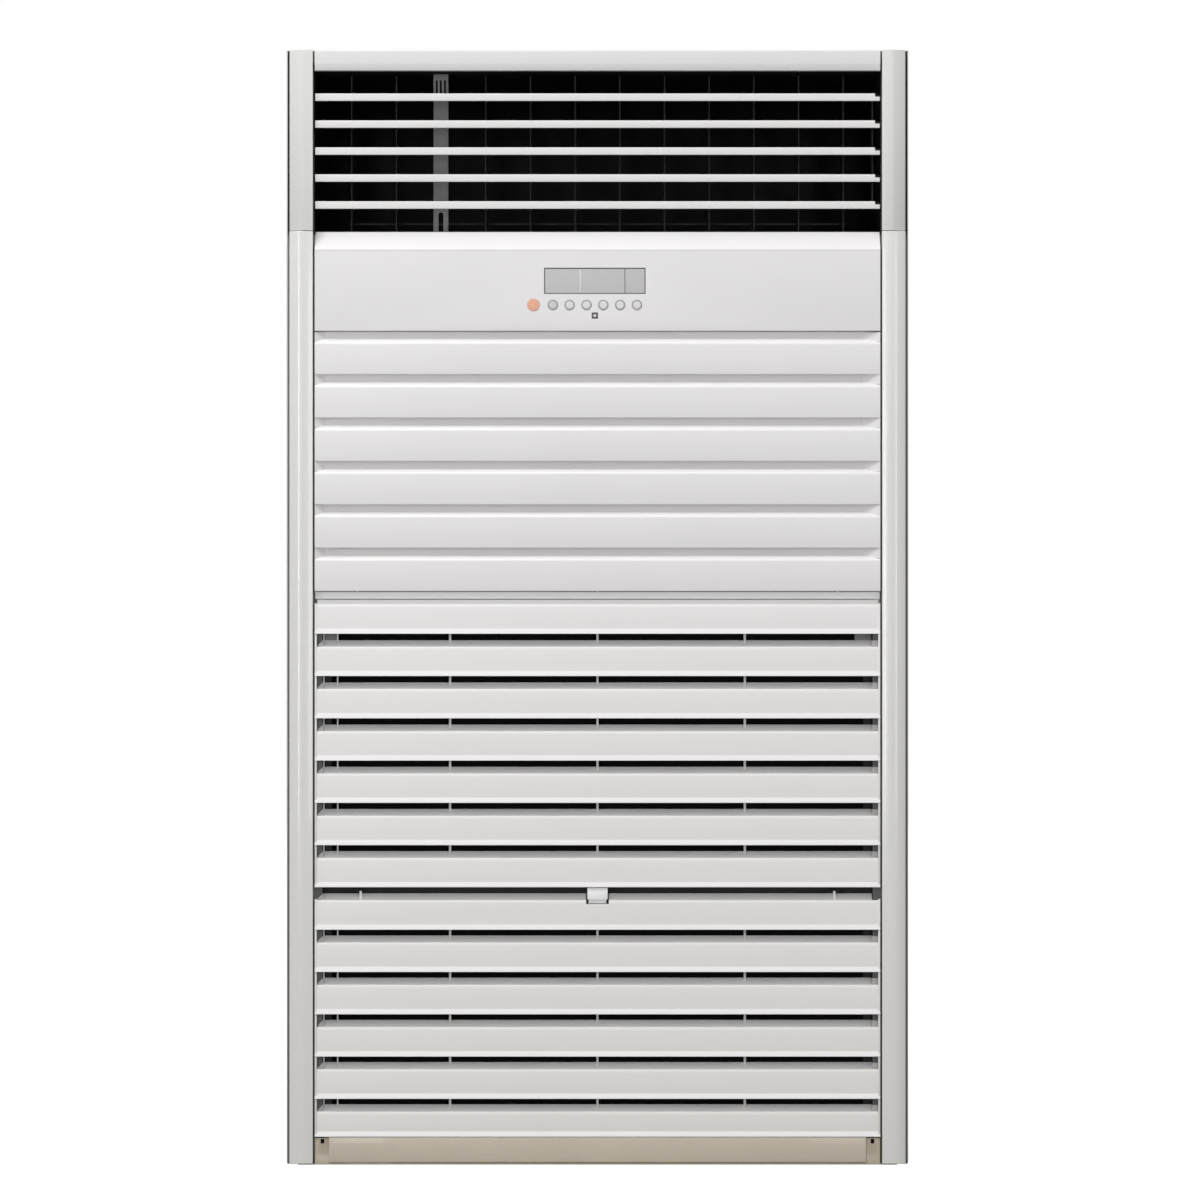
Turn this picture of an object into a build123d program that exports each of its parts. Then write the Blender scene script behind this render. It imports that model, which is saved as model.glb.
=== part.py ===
from build123d import *
import math
import os

os.makedirs("parts", exist_ok=True)

# A floor standing air conditioner, millimetres, +Z up, front towards -Y.
# The origin is the middle of the base, on the floor.

# ---- overall layout, front view ----
front_width = 954.0  # front panels, between the pillar seams
pillar_seam = 2.0  # dark gap beside each pillar trim
trim_width = 40.5
side_lip = 5.5  # side sheet seen outside each trim
cabinet_depth = 495.0
face_setback = 6.0  # panels stand behind the trims' ridge
flange_setback = 19.5  # side panels' front flanges stand behind the ridge

# ---- heights, from the floor up ----
trim_foot = 2.0
kick_bottom = 4.0
kick_height = 42.0
kick_seam = 0.5
row_pitch = 71.3  # intake rows
row_face = 49.5
lower_rows = 6
upper_rows = 7
short_row_cut = 7.0  # the lowest slat is shorter by this
blind_pitch = 73.2
blind_face = 54.5
blind_rows = 6
control_height = 138.7
bevel_height = 30.4
outlet_height = 270.5
header_height = 34.8
header_crease = 23.7  # crease below the header's top edge
panel_seam = 0.8

# ---- material walls and clearances ----
sheet = 1.2  # painted steel
tray_wall = 1.5  # galvanised steel
moulding = 2.5  # plastic front parts
duct_wall = 4.0
running_gap = 0.05  # pins in their holes, radial
moving_gap = 0.3  # faces that pass each other
open_gap = 0.1  # link holes that only follow

# ---- derived places ----
half_front = front_width / 2
trim_in = half_front + pillar_seam
trim_out = trim_in + trim_width
half_width = trim_out + side_lip
side_inner = half_width - sheet
front_y = -cabinet_depth / 2
back_y = cabinet_depth / 2
face_y = front_y + face_setback
flange_y = front_y + flange_setback
flange_back = flange_y + sheet
rear_inner = back_y - 2 * sheet

# ---- depths of what stands behind the front panels ----
ledge_depth = 25.0  # intake slats reach back by this
grille_clearance = 4.5  # behind the slats' ledges
channel_lip = 3.0
channel_back_lip = 6.4
filter_thickness = 6.0
pan_front_gap = 6.0
pan_rear_gap = 10.1
channel_front = face_y + ledge_depth + grille_clearance
filter_front = channel_front + channel_lip + moving_gap
filter_back = filter_front + filter_thickness
channel_back = filter_back + moving_gap + channel_back_lip
pan_front = channel_back + pan_front_gap
pan_back = rear_inner - pan_rear_gap

kick_top = kick_bottom + kick_height
lower_z = kick_top + kick_seam
upper_z = lower_z + lower_rows * row_pitch - short_row_cut
blind_z = upper_z + upper_rows * row_pitch
control_z = blind_z + blind_rows * blind_pitch
bevel_z = control_z + control_height
outlet_z = bevel_z + bevel_height
header_z = outlet_z + outlet_height
top_z = header_z + header_height
crease_z = top_z - header_crease
roof_under = top_z - sheet


def save(piece, name):
    piece.part.label = name
    export_step(piece.part, f"parts/{name}.step")


def span(low, high, mode=Mode.ADD):
    """A box between two corners."""
    middle = [(a + b) / 2 for a, b in zip(low, high)]
    size = [b - a for a, b in zip(low, high)]
    with Locations(tuple(middle)):
        Box(*size, mode=mode)


def outline(points):
    """A closed flat face through the given points."""
    with BuildLine() as border:
        Polyline(*points, close=True)
    make_face(border.edges())


def front_plane(y):
    """A drawing plane facing the viewer, at depth y."""
    return Plane.XZ.offset(-y)


def drilled(radius, depth, mode=Mode.SUBTRACT):
    """A cylinder along Y at each active location."""
    Cylinder(radius, depth, rotation=(90, 0, 0), mode=mode)


# ---- base pan: tray, upstand, two rails and the anchor holes ----
upstand_setback = 3.0
upstand_inset = 0.5
upstand_height = 45.0
lip_inset = 14.5  # the tray's front lip ends inside the trims' outer edges
jog_gap = 0.8
rail_place = 300.0
rail_width = 40.0
rail_height = 60.0
anchor_side_inset = 37.0  # from the front panels' ends
anchor_edge_inset = 57.5  # from the cabinet's front and back
anchor_r = 6.0
upstand_y = face_y + upstand_setback
upstand_half = half_front - upstand_inset
base_lip_half = trim_out - lip_inset
anchor_x = half_front - anchor_side_inset
anchor_y = back_y - anchor_edge_inset
jog_y = flange_back + jog_gap

screw_r = 1.9
screw_hole = 2.1
screw_head_r = 4.0
screw_length = 10.0
screw_inset = 27.0
screw_per_row = 4
base_screw_z = 30.0
deck_flange = 25.0
skirt_height = 20.8
deck_top = outlet_z - duct_wall
deck_under = deck_top - tray_wall
deck_screw_z = deck_under - deck_flange / 2
roof_screw_z = roof_under - skirt_height / 2
screw_rows = [base_screw_z, deck_screw_z, roof_screw_z]
screw_reach = half_front - screw_inset
screw_columns = [screw_reach * (2 * k / (screw_per_row - 1) - 1) for k in range(screw_per_row)]


def rear_screw_holes(rows):
    with Locations(*[(x, rear_inner, z) for x in screw_columns for z in rows]):
        drilled(screw_hole, screw_length)


with BuildPart() as base_pan:
    span((-side_inner, jog_y, 0), (side_inner, rear_inner, tray_wall))
    span((-base_lip_half, face_y, 0), (base_lip_half, jog_y, tray_wall))
    with BuildSketch(Plane.XY.offset(tray_wall)):
        outline([
            (-upstand_half, upstand_y),
            (upstand_half, upstand_y),
            (upstand_half, jog_y),
            (side_inner, jog_y),
            (side_inner, rear_inner),
            (-side_inner, rear_inner),
            (-side_inner, jog_y),
            (-upstand_half, jog_y),
        ])
        offset(amount=-tray_wall, kind=Kind.INTERSECTION, mode=Mode.SUBTRACT)
    extrude(amount=upstand_height - tray_wall)
    for side in (-1, 1):
        middle = side * rail_place
        span((middle - rail_width / 2, pan_front, tray_wall),
             (middle + rail_width / 2, pan_back, rail_height))
        span((middle - rail_width / 2 + tray_wall, pan_front, tray_wall),
             (middle + rail_width / 2 - tray_wall, pan_back, rail_height - tray_wall), Mode.SUBTRACT)
    with Locations((anchor_x, anchor_y, tray_wall / 2), (-anchor_x, anchor_y, tray_wall / 2),
                   (anchor_x, -anchor_y, tray_wall / 2), (-anchor_x, -anchor_y, tray_wall / 2)):
        Cylinder(anchor_r, 2 * tray_wall, mode=Mode.SUBTRACT)
    rear_screw_holes([base_screw_z])
save(base_pan, "base_pan")

# ---- kick panel: shallow sheet cover on the base's front upstand ----
kick_inset = 24.0
kick_half = half_front - kick_inset

with BuildPart() as kick_panel:
    span((-kick_half, face_y, kick_bottom), (kick_half, upstand_y, kick_top))
    span((-kick_half + sheet, face_y + sheet, kick_bottom + sheet),
         (kick_half - sheet, upstand_y, kick_top - sheet), Mode.SUBTRACT)
save(kick_panel, "kick_panel")

# ---- side panels, with the pipe port and drain hole on the right ----
wide_flange = 14.0  # lower flange that the front panels lie on
rear_flange = 20.0
flange_in = trim_in - wide_flange
corner_r = 3.0
port_width = 110.0
port_height = 90.0
port_corner = 20.0
port_from_back = 67.5
port_z = 255.0
drain_above_rails = 30.0
drain_hole = 16.0
port_y = back_y - port_from_back
drain_y = port_y
drain_z = rail_height + drain_above_rails


def side_panel(side):
    with BuildPart() as panel:
        with BuildSketch(Plane.XY.offset(trim_foot)) as plan:
            outline([
                (side * trim_in, flange_y),
                (side * half_width, flange_y),
                (side * half_width, back_y),
                (side * (half_width - rear_flange), back_y),
                (side * (half_width - rear_flange), back_y - sheet),
                (side * side_inner, back_y - sheet),
                (side * side_inner, flange_back),
                (side * trim_in, flange_back),
            ])
            ends = plan.vertices().sort_by(Axis.X)
            outer = ends[-2:] if side > 0 else ends[:2]
            fillet(outer.sort_by(Axis.Y)[0], corner_r)
        extrude(amount=roof_under - trim_foot)
        low, high = sorted((side * flange_in, side * trim_in))
        span((low, flange_y, upstand_height + moving_gap), (high, flange_back, bevel_z))
    return panel


side_panel_left = side_panel(-1)
save(side_panel_left, "side_panel_left")

with BuildPart() as side_panel_right:
    add(side_panel(1).part)
    with BuildSketch(Plane.YZ.offset(side_inner)):
        with Locations((port_y, port_z)):
            RectangleRounded(port_width, port_height, port_corner)
        with Locations((drain_y, drain_z)):
            Circle(drain_hole)
    extrude(amount=2 * sheet, both=True, mode=Mode.SUBTRACT)
save(side_panel_right, "side_panel_right")

# ---- rear panel ----
rear_foot = 3.0

with BuildPart() as rear_panel:
    span((-side_inner, rear_inner, rear_foot), (side_inner, rear_inner + sheet, roof_under))
    rear_screw_holes(screw_rows)
save(rear_panel, "rear_panel")

# ---- top panel: plate with a skirt inside the side and rear panels ----
with BuildPart() as top_panel:
    span((-half_width, flange_y, roof_under), (half_width, back_y, top_z))
    span((-side_inner, flange_back, roof_under - skirt_height), (side_inner, rear_inner, roof_under))
    span((-side_inner + sheet, flange_back + sheet, roof_under - skirt_height),
         (side_inner - sheet, rear_inner - sheet, roof_under), Mode.SUBTRACT)
    rear_screw_holes([roof_screw_z])
save(top_panel, "top_panel")

# ---- screws of the rear panel ----
with BuildPart() as screws:
    head = back_y - (rear_inner + sheet)
    with Locations(*[(x, back_y - head / 2, z) for x in screw_columns for z in screw_rows]):
        drilled(screw_head_r, head, Mode.ADD)
    with Locations(*[(x, back_y - head - screw_length / 2, z) for x in screw_columns for z in screw_rows]):
        drilled(screw_r, screw_length, Mode.ADD)
save(screws, "screws")

# ---- pillar trims: hollow mouldings with a rounded ridge ----
ridge_from_edge = 19.5
inner_drop = 4.5  # the trim's inner edge stands behind the ridge
outer_drop = 11.5


def ridge_curve(start, end):
    """Depths of one side of the ridge, an arc level at the ridge itself."""
    run = end - start
    drop = inner_drop if abs(start) < abs(end) else outer_drop
    radius = (run * run + drop * drop) / (2 * drop)
    half_run = run / 2
    return front_y + drop, front_y + radius - math.sqrt(radius * radius - half_run * half_run)


def trim_outline(side, rim):
    ridge = side * (trim_out - ridge_from_edge)
    inner = side * trim_in
    outer = side * trim_out
    inner_end, inner_mid = ridge_curve(inner, ridge)
    outer_end, outer_mid = ridge_curve(outer, ridge)
    with BuildLine() as border:
        Line((inner, rim), (inner, inner_end))
        ThreePointArc((inner, inner_end), ((inner + ridge) / 2, inner_mid), (ridge, front_y))
        ThreePointArc((ridge, front_y), ((outer + ridge) / 2, outer_mid), (outer, outer_end))
        Line((outer, outer_end), (outer, rim))
        Line((outer, rim), (inner, rim))
    make_face(border.edges())


def pillar_trim(side, bottom, top):
    with BuildPart() as trim:
        with BuildSketch(Plane.XY.offset(bottom)):
            trim_outline(side, flange_y)
        extrude(amount=top - bottom)
        with BuildSketch(Plane.XY.offset(bottom + moulding)):
            trim_outline(side, flange_y + moulding)
            offset(amount=-moulding, mode=Mode.REPLACE)
        extrude(amount=top - bottom - 2 * moulding, mode=Mode.SUBTRACT)
    return trim


for side, word in ((-1, "left"), (1, "right")):
    save(pillar_trim(side, outlet_z + panel_seam / 2, top_z), f"trim_upper_{word}")
    save(pillar_trim(side, trim_foot, outlet_z - panel_seam / 2), f"trim_lower_{word}")

# ---- header rail above the outlet ----
header_lean = 2.0  # the strip under the crease leans back by this
end_wall = moulding

with BuildPart() as outlet_header:
    with BuildSketch(Plane.YZ.offset(-half_front)):
        outline([
            (face_y + header_lean, header_z),
            (face_y, crease_z),
            (face_y, top_z),
            (flange_y, top_z),
            (flange_y, top_z - moulding),
            (face_y + moulding, top_z - moulding),
            (face_y + moulding, crease_z),
            (face_y + header_lean + moulding, header_z + moulding),
            (flange_back, header_z + moulding),
            (flange_back, header_z),
        ])
    extrude(amount=front_width)
    for start in (-half_front, half_front - end_wall):
        with BuildSketch(Plane.YZ.offset(start)):
            outline([(face_y + header_lean, header_z), (face_y, crease_z), (face_y, top_z),
                     (flange_y, top_z), (flange_y, header_z)])
        extrude(amount=end_wall)
save(outlet_header, "outlet_header")

# ---- control panel: face, sloping sill, window, receiver and button holes ----
sill_run = 29.5
sill_y = face_y + sill_run
sill_slope = bevel_height / (sill_y - face_y)
sill_wall = moulding * math.sqrt(1 + sill_slope * sill_slope)

window_x = -4.5
window_drop = 53.9
window_width = 171.0
window_height = 44.0
pane_gap = 0.1
button_drop = 94.4
first_button_x = -75.2
button_spacing = 28.34
button_r = 8.5
power_x = -107.8
power_r = 10.25
receiver_drop = 112.5
receiver_size = 10.6
window_z = bevel_z - window_drop
button_z = bevel_z - button_drop
receiver_z = bevel_z - receiver_drop

button_names = ["power", "mode", "warmer", "cooler", "fan", "swing", "timer"]
button_places = [power_x] + [first_button_x + button_spacing * k for k in range(len(button_names) - 1)]
button_radii = [power_r] + [button_r] * (len(button_names) - 1)

with BuildPart() as control_panel:
    bottom = control_z + panel_seam / 2
    inner_y = face_y + moulding
    with BuildSketch(Plane.YZ.offset(-half_front)):
        outline([
            (face_y, bottom),
            (face_y, bevel_z),
            (sill_y, outlet_z),
            (sill_y, outlet_z - sill_wall),
            (inner_y, bevel_z + sill_slope * moulding - sill_wall),
            (inner_y, bottom + moulding),
            (flange_y, bottom + moulding),
            (flange_y, bottom),
        ])
    extrude(amount=front_width)
    for start in (-half_front, half_front - end_wall):
        with BuildSketch(Plane.YZ.offset(start)):
            outline([(face_y, bottom), (face_y, bevel_z),
                     (flange_y, bevel_z + sill_slope * (flange_y - face_y)), (flange_y, bottom)])
        extrude(amount=end_wall)
    with BuildSketch(front_plane(inner_y)):
        with Locations((window_x, window_z)):
            Rectangle(window_width + 2 * pane_gap, window_height + 2 * pane_gap)
        with Locations((window_x, receiver_z)):
            Rectangle(receiver_size + 2 * pane_gap, receiver_size + 2 * pane_gap)
        for x, radius in zip(button_places, button_radii):
            with Locations((x, button_z)):
                Circle(radius + moving_gap)
    extrude(amount=moulding, mode=Mode.SUBTRACT)
save(control_panel, "control_panel")

# ---- display window and the board behind it ----
pane_sink = 0.8
pane_back = face_y + pane_sink + moulding
board_setback = 9.5
board_thickness = 1.6
board_margin = 18.0
display_margin = 6.0
post_r = 3.0
switch_size = 6.0
button_travel = 1.2
button_proud = 1.0
button_stem_r = 3.0
button_rim = 1.5
button_rim_depth = 1.2
stem_room = 4.0  # between a button's stem and the board
switch_gap = 0.2
board_y = face_y + board_setback
stem_end = board_y - stem_room
switch_front = stem_end + button_travel + switch_gap

with BuildPart() as display_window:
    span((window_x - window_width / 2, face_y + pane_sink, window_z - window_height / 2),
         (window_x + window_width / 2, pane_back, window_z + window_height / 2))
save(display_window, "display_window")

with BuildPart() as display_board:
    board_left = power_x - board_margin
    board_right = window_x + window_width / 2 + board_margin
    board_low = receiver_z - board_margin
    board_high = window_z + window_height / 2 + board_margin
    span((board_left, board_y, board_low), (board_right, board_y + board_thickness, board_high))
    span((window_x - window_width / 2 + display_margin, pane_back,
          window_z - window_height / 2 + display_margin),
         (window_x + window_width / 2 - display_margin, board_y,
          window_z + window_height / 2 - display_margin))
    half = receiver_size / 2
    span((window_x - half, face_y + pane_sink, receiver_z - half),
         (window_x + half, board_y, receiver_z + half))
    for x in button_places:
        span((x - switch_size / 2, switch_front, button_z - switch_size / 2),
             (x + switch_size / 2, board_y, button_z + switch_size / 2))
    post = board_y - face_y - moulding
    post_columns = (board_left + 2 * post_r, board_right - 2 * post_r)
    post_rows = (board_low + 2 * post_r, board_high - 2 * post_r)
    with Locations(*[(x, board_y - post / 2, z) for x in post_columns for z in post_rows]):
        drilled(post_r, post, Mode.ADD)
save(display_board, "display_board")


def push_button(x, radius):
    with BuildPart() as button:
        cap_front = face_y - button_proud
        rim_front = face_y + moulding + moving_gap
        rim_back = rim_front + button_rim_depth
        for step_r, near, far in ((radius, cap_front, rim_front),
                                  (radius + button_rim, rim_front, rim_back),
                                  (button_stem_r, rim_front, stem_end)):
            with BuildSketch(front_plane(far)):
                with Locations((x, button_z)):
                    Circle(step_r)
            extrude(amount=far - near)
    return button


for word, x, radius in zip(button_names, button_places, button_radii):
    save(push_button(x, radius), f"button_{word}")

# ---- blind panel: closed slats in front of the blower and the electric box ----
blind_depth = flange_y - face_y - moulding
blind_rise = 7.0
left_wedge = 17.0
right_wedge = 30.0

with BuildPart() as blind_panel:
    slope = blind_rise / blind_depth
    ledge_wall = moulding * math.sqrt(1 + slope * slope)
    recess_y = face_y + blind_depth
    front_line = []
    back_line = []
    for row in range(blind_rows):
        base = blind_z + row * blind_pitch
        front_line += [(face_y, base), (face_y, base + blind_face),
                       (recess_y, base + blind_face + blind_rise), (recess_y, base + blind_pitch)]
        back_line += [(face_y + moulding, base + moulding),
                      (face_y + moulding, base + blind_face + slope * moulding - ledge_wall),
                      (flange_y, base + blind_face + slope * (blind_depth + moulding) - ledge_wall),
                      (flange_y, base + blind_pitch + moulding)]
    front_line[0] = (face_y, blind_z + panel_seam / 2)
    back_line[0] = (face_y + moulding, blind_z + panel_seam / 2)
    front_line[-1] = (recess_y, control_z - panel_seam / 2)
    back_line[-1] = (flange_y, control_z - panel_seam / 2)
    with BuildSketch(Plane.YZ.offset(-half_front)):
        outline(front_line + back_line[::-1])
    extrude(amount=front_width)
    with BuildSketch(Plane.XY.offset(blind_z + panel_seam / 2)):
        outline([(-half_front, face_y), (-half_front, flange_y), (-half_front + left_wedge, flange_y),
                 (-half_front + left_wedge, recess_y)])
        outline([(half_front, face_y), (half_front, flange_y), (half_front - right_wedge, flange_y),
                 (half_front - right_wedge, recess_y)])
    extrude(amount=blind_rows * blind_pitch - panel_seam)
save(blind_panel, "blind_panel")

# ---- intake grilles: slats with a lip, a face and a ledge, on vertical ribs ----
ledge_rise = 12.5
lip_depth = 9.0
rib_setback = 1.5
rib_step = 0.5  # ribs end before the ledges' rear edges
end_rib_inset = 12.0
second_rib_inset = 37.0
right_rib_inset = 19.0
middle_rib = 249.0
thin_rib = 2.5
thick_rib = 4.0
end_clear = 1.5  # the grille's ends step round the flanges
hinge_setback = 19.5
hinge_drop = 5.4
hinge_inset = 77.0
ear_width = 4.0
ear_r = 5.0
hinge_pin_r = 3.0
hinge_pin_past = 1.0
bridge_half = 17.0
bridge_clear = 2.0
notch_drop = 6.2
rib_front = face_y + rib_setback
rib_back = face_y + ledge_depth - rib_step
hinge_y = face_y + hinge_setback
hinge_place = half_front - hinge_inset
thin_ribs = [end_rib_inset - half_front, second_rib_inset - half_front, half_front - right_rib_inset]
thick_ribs = [-middle_rib, 0, middle_rib]
ribs = [(x, thin_rib) for x in thin_ribs] + [(x, thick_rib) for x in thick_ribs]


def slat_section(bottom, top):
    slope = ledge_rise / ledge_depth
    wall = moulding * math.sqrt(1 + slope * slope)
    outline([
        (face_y, bottom),
        (face_y, top),
        (face_y + ledge_depth, top + ledge_rise),
        (face_y + ledge_depth, top + ledge_rise - wall),
        (face_y + moulding, top + slope * moulding - wall),
        (face_y + moulding, bottom + moulding),
        (face_y + lip_depth, bottom + moulding),
        (face_y + lip_depth, bottom),
    ])


def intake_grille(rows, cell_bottom, cell_top, notched):
    first_top = cell_top - row_pitch + row_face
    bottom = cell_bottom + panel_seam / 2
    hinge_z = cell_top - hinge_drop
    with BuildPart() as grille:
        with BuildSketch(Plane.YZ.offset(-half_front)):
            for row in range(rows):
                row_bottom = max(cell_top - (row + 1) * row_pitch, bottom)
                slat_section(row_bottom, first_top - row * row_pitch)
        extrude(amount=front_width)
        rib_top = first_top - moulding
        for x, width in ribs:
            span((x - width / 2, rib_front, bottom), (x + width / 2, rib_back, rib_top))
        for side in (-1, 1):
            low, high = sorted((side * (flange_in - end_clear), side * (half_front + 1)))
            span((low, flange_y - moving_gap, bottom - 1), (high, rib_back + 1, cell_top), Mode.SUBTRACT)
            ear_x = side * hinge_place
            span((ear_x - ear_width / 2, hinge_y - ear_r, first_top + moulding),
                 (ear_x + ear_width / 2, hinge_y + ear_r - 1, hinge_z))
            with BuildSketch(Plane.YZ.offset(ear_x - ear_width / 2)):
                with Locations((hinge_y, hinge_z)):
                    Circle(ear_r)
            extrude(amount=ear_width)
            with BuildSketch(Plane.YZ.offset(ear_x - ear_width / 2)):
                with Locations((hinge_y, hinge_z)):
                    Circle(hinge_pin_r + running_gap)
            extrude(amount=ear_width, mode=Mode.SUBTRACT)
        if notched:
            half = bridge_half + bridge_clear
            span((-half, face_y + moulding, first_top - notch_drop),
                 (half, rib_back + 1, cell_top), Mode.SUBTRACT)
    return grille


save(intake_grille(upper_rows, upper_z, blind_z, False), "grille_upper")
save(intake_grille(lower_rows, lower_z, upper_z, True), "grille_lower")

# ---- intake frame: filter channels, rails, hinge brackets, catches ----
channel_reach = 15.5
channel_step = 0.5  # the channels start just inside the flanges
frame_overlap = 11.0
filter_side_gap = 0.5
rail_under = 12.3  # rail underside below the seam between the grilles
rail_deep = 25.0
bottom_rail = 15.0
bracket_width = 4.0
bracket_reach = 6.0
bracket_gap = 2.0
catch_height = 30.0
catch_depth = 4.0
catch_rise = 5.0  # the catches show in the first gap of the upper grille
catch_end = 2.0
left_catch_width = 23.0
right_catch_width = 28.0
bridge_gap = 1.0
bridge_below = 8.0
fascia_wall = 2.5
fascia_drop = 7.9  # the strip over the upper grille stays clear of its ledge as it swings
ear_room = 2.0
channel_out = flange_in - channel_step
frame_out = flange_in + frame_overlap
channel_in = flange_in - channel_reach
filter_half = channel_out - filter_side_gap
bracket_front = hinge_y - bracket_reach
frame_bottom = upstand_height
mid_rail_z = upper_z - rail_under
top_rail_z = blind_z - rail_under

with BuildPart() as intake_frame:
    frame_top = top_rail_z + rail_deep
    for side in (-1, 1):
        low, high = sorted((side * channel_out, side * frame_out))
        span((low, flange_back, frame_bottom), (high, channel_back, frame_top))
        low, high = sorted((side * channel_in, side * channel_out))
        span((low, channel_front, frame_bottom), (high, channel_front + channel_lip, frame_top))
        span((low, filter_back + moving_gap, frame_bottom), (high, channel_back, frame_top))
    for low_z, high_z in ((frame_bottom, frame_bottom + bottom_rail),
                          (mid_rail_z, mid_rail_z + rail_deep), (top_rail_z, frame_top)):
        span((-flange_in, channel_front, low_z), (flange_in, channel_back, high_z))
    for hinge_z, bracket_top in ((upper_z - hinge_drop, upper_z - panel_seam),
                                 (blind_z - hinge_drop, frame_top)):
        for side in (-1, 1):
            near = hinge_place + ear_width / 2 + bracket_gap
            low, high = sorted((side * near, side * (near + bracket_width)))
            span((low, bracket_front, hinge_z - hinge_pin_r), (high, channel_front, bracket_top))
            pin_end = hinge_place - ear_width / 2 - hinge_pin_past
            low = min(side * pin_end, side * near)
            with BuildSketch(Plane.YZ.offset(low)):
                with Locations((hinge_y, hinge_z)):
                    Circle(hinge_pin_r)
            extrude(amount=near - pin_end)
    fascia_y = hinge_y - bracket_reach - fascia_wall
    span((-flange_in + end_clear, fascia_y, blind_z - fascia_drop),
         (flange_in - end_clear, bracket_front, blind_z - panel_seam))
    span((-bracket_width / 2, bracket_front, blind_z - fascia_drop), (bracket_width / 2, channel_front, frame_top))
    for side in (-1, 1):
        half = ear_width / 2 + ear_room
        span((side * hinge_place - half, fascia_y, blind_z - fascia_drop),
             (side * hinge_place + half, bracket_front, blind_z - panel_seam), Mode.SUBTRACT)
    bridge_front = face_y + moulding + bridge_gap
    bridge_low = mid_rail_z - bridge_below
    span((-bridge_half, bridge_front, bridge_low), (bridge_half, channel_front, upper_z - panel_seam))
    span((-bridge_half, channel_front, bridge_low), (bridge_half, channel_front + channel_lip, mid_rail_z))
    catch_out = flange_in - catch_end
    catch_z = blind_z - row_pitch + catch_rise - catch_height
    for low, high in ((-catch_out, left_catch_width - catch_out),
                      (catch_out - right_catch_width, catch_out)):
        span((low, channel_front - catch_depth, catch_z),
             (high, channel_front + channel_lip, catch_z + catch_height))
save(intake_frame, "intake_frame")

# ---- air filters: frame, ribs and a thin mesh sheet ----
filter_border = 12.0
filter_rib = 3.0
filter_cell = 90.0
filter_lift = 20.0
lift_spare = 5.0
mesh_thickness = 0.6
mesh_inset = 1.0


def air_filter(bottom, top):
    with BuildPart() as screen:
        with BuildSketch(front_plane(filter_back)):
            with Locations((0, (bottom + top) / 2)):
                Rectangle(2 * filter_half, top - bottom)
                Rectangle(2 * (filter_half - filter_border), top - bottom - 2 * filter_border,
                          mode=Mode.SUBTRACT)
            across = round(2 * filter_half / filter_cell)
            upward = round((top - bottom) / filter_cell)
            for k in range(1, across):
                with Locations((-filter_half + 2 * filter_half * k / across, (bottom + top) / 2)):
                    Rectangle(filter_rib, top - bottom)
            for k in range(1, upward):
                with Locations((0, bottom + (top - bottom) * k / upward)):
                    Rectangle(2 * filter_half, filter_rib)
        extrude(amount=filter_thickness)
        middle = (filter_front + filter_back) / 2
        span((mesh_inset - filter_half, middle - mesh_thickness / 2, bottom + mesh_inset),
             (filter_half - mesh_inset, middle + mesh_thickness / 2, top - mesh_inset))
    return screen


lower_filter_z = frame_bottom + bottom_rail + moving_gap
upper_filter_z = mid_rail_z + rail_deep + moving_gap
lift_room = filter_lift + lift_spare
save(air_filter(lower_filter_z, mid_rail_z - lift_room), "filter_lower")
save(air_filter(upper_filter_z, top_rail_z - lift_room), "filter_upper")

# ---- drain pan on the base rails, with its outlet nipple ----
pan_side_gap = 8.8
pan_height = 50.0
pan_wall = 2.0
nipple_r = 12.5
nipple_bore = 10.5
nipple_sink = 0.5  # the nipple ends just inside the side panel's face
pan_half = side_inner - pan_side_gap
nipple_end = half_width - nipple_sink

with BuildPart() as drain_pan:
    span((-pan_half, pan_front, rail_height), (pan_half, pan_back, rail_height + pan_height))
    span((-pan_half + pan_wall, pan_front + pan_wall, rail_height + pan_wall),
         (pan_half - pan_wall, pan_back - pan_wall, rail_height + pan_height), Mode.SUBTRACT)
    with BuildSketch(Plane.YZ.offset(pan_half)):
        with Locations((drain_y, drain_z)):
            Circle(nipple_r)
    extrude(amount=nipple_end - pan_half)
    with BuildSketch(Plane.YZ.offset(pan_half - pan_wall)):
        with Locations((drain_y, drain_z)):
            Circle(nipple_bore)
    extrude(amount=nipple_end - pan_half + pan_wall, mode=Mode.SUBTRACT)
save(drain_pan, "drain_pan")

# ---- evaporator coil: slanted, one folded fin sheet between two end plates ----
coil_thickness = 85.0
coil_inset = 25.0  # from the front panels' ends
coil_top_setback = 49.0
coil_top_drop = 26.4
coil_foot_inset = 85.0
coil_foot_rise = 110.0
coil_half = half_front - coil_inset
coil_high = (channel_back + coil_top_setback, blind_z - coil_top_drop)  # its middle line's ends, y and z
coil_low = (pan_back - coil_foot_inset, rail_height + coil_foot_rise)
plate_thickness = 2.0
plate_margin = 8.0
coil_run = math.hypot(coil_high[0] - coil_low[0], coil_high[1] - coil_low[1])
coil_along = ((coil_high[0] - coil_low[0]) / coil_run, (coil_high[1] - coil_low[1]) / coil_run)
coil_across = (coil_along[1], -coil_along[0])


def coil_point(along, across):
    """A place on the coil's end, from its lower end along its middle line and off it."""
    return (coil_low[0] + coil_along[0] * along + coil_across[0] * across,
            coil_low[1] + coil_along[1] * along + coil_across[1] * across)


def coil_face(margin):
    half = coil_thickness / 2 + margin
    outline([coil_point(0, -half), coil_point(0, half),
             coil_point(coil_run, half), coil_point(coil_run, -half)])


pan_floor = rail_height + pan_wall
foot_half = 40.0
tab_length = 46.0
tab_half = 15.0

fin_count = 76
fin_thickness = 0.8


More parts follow.
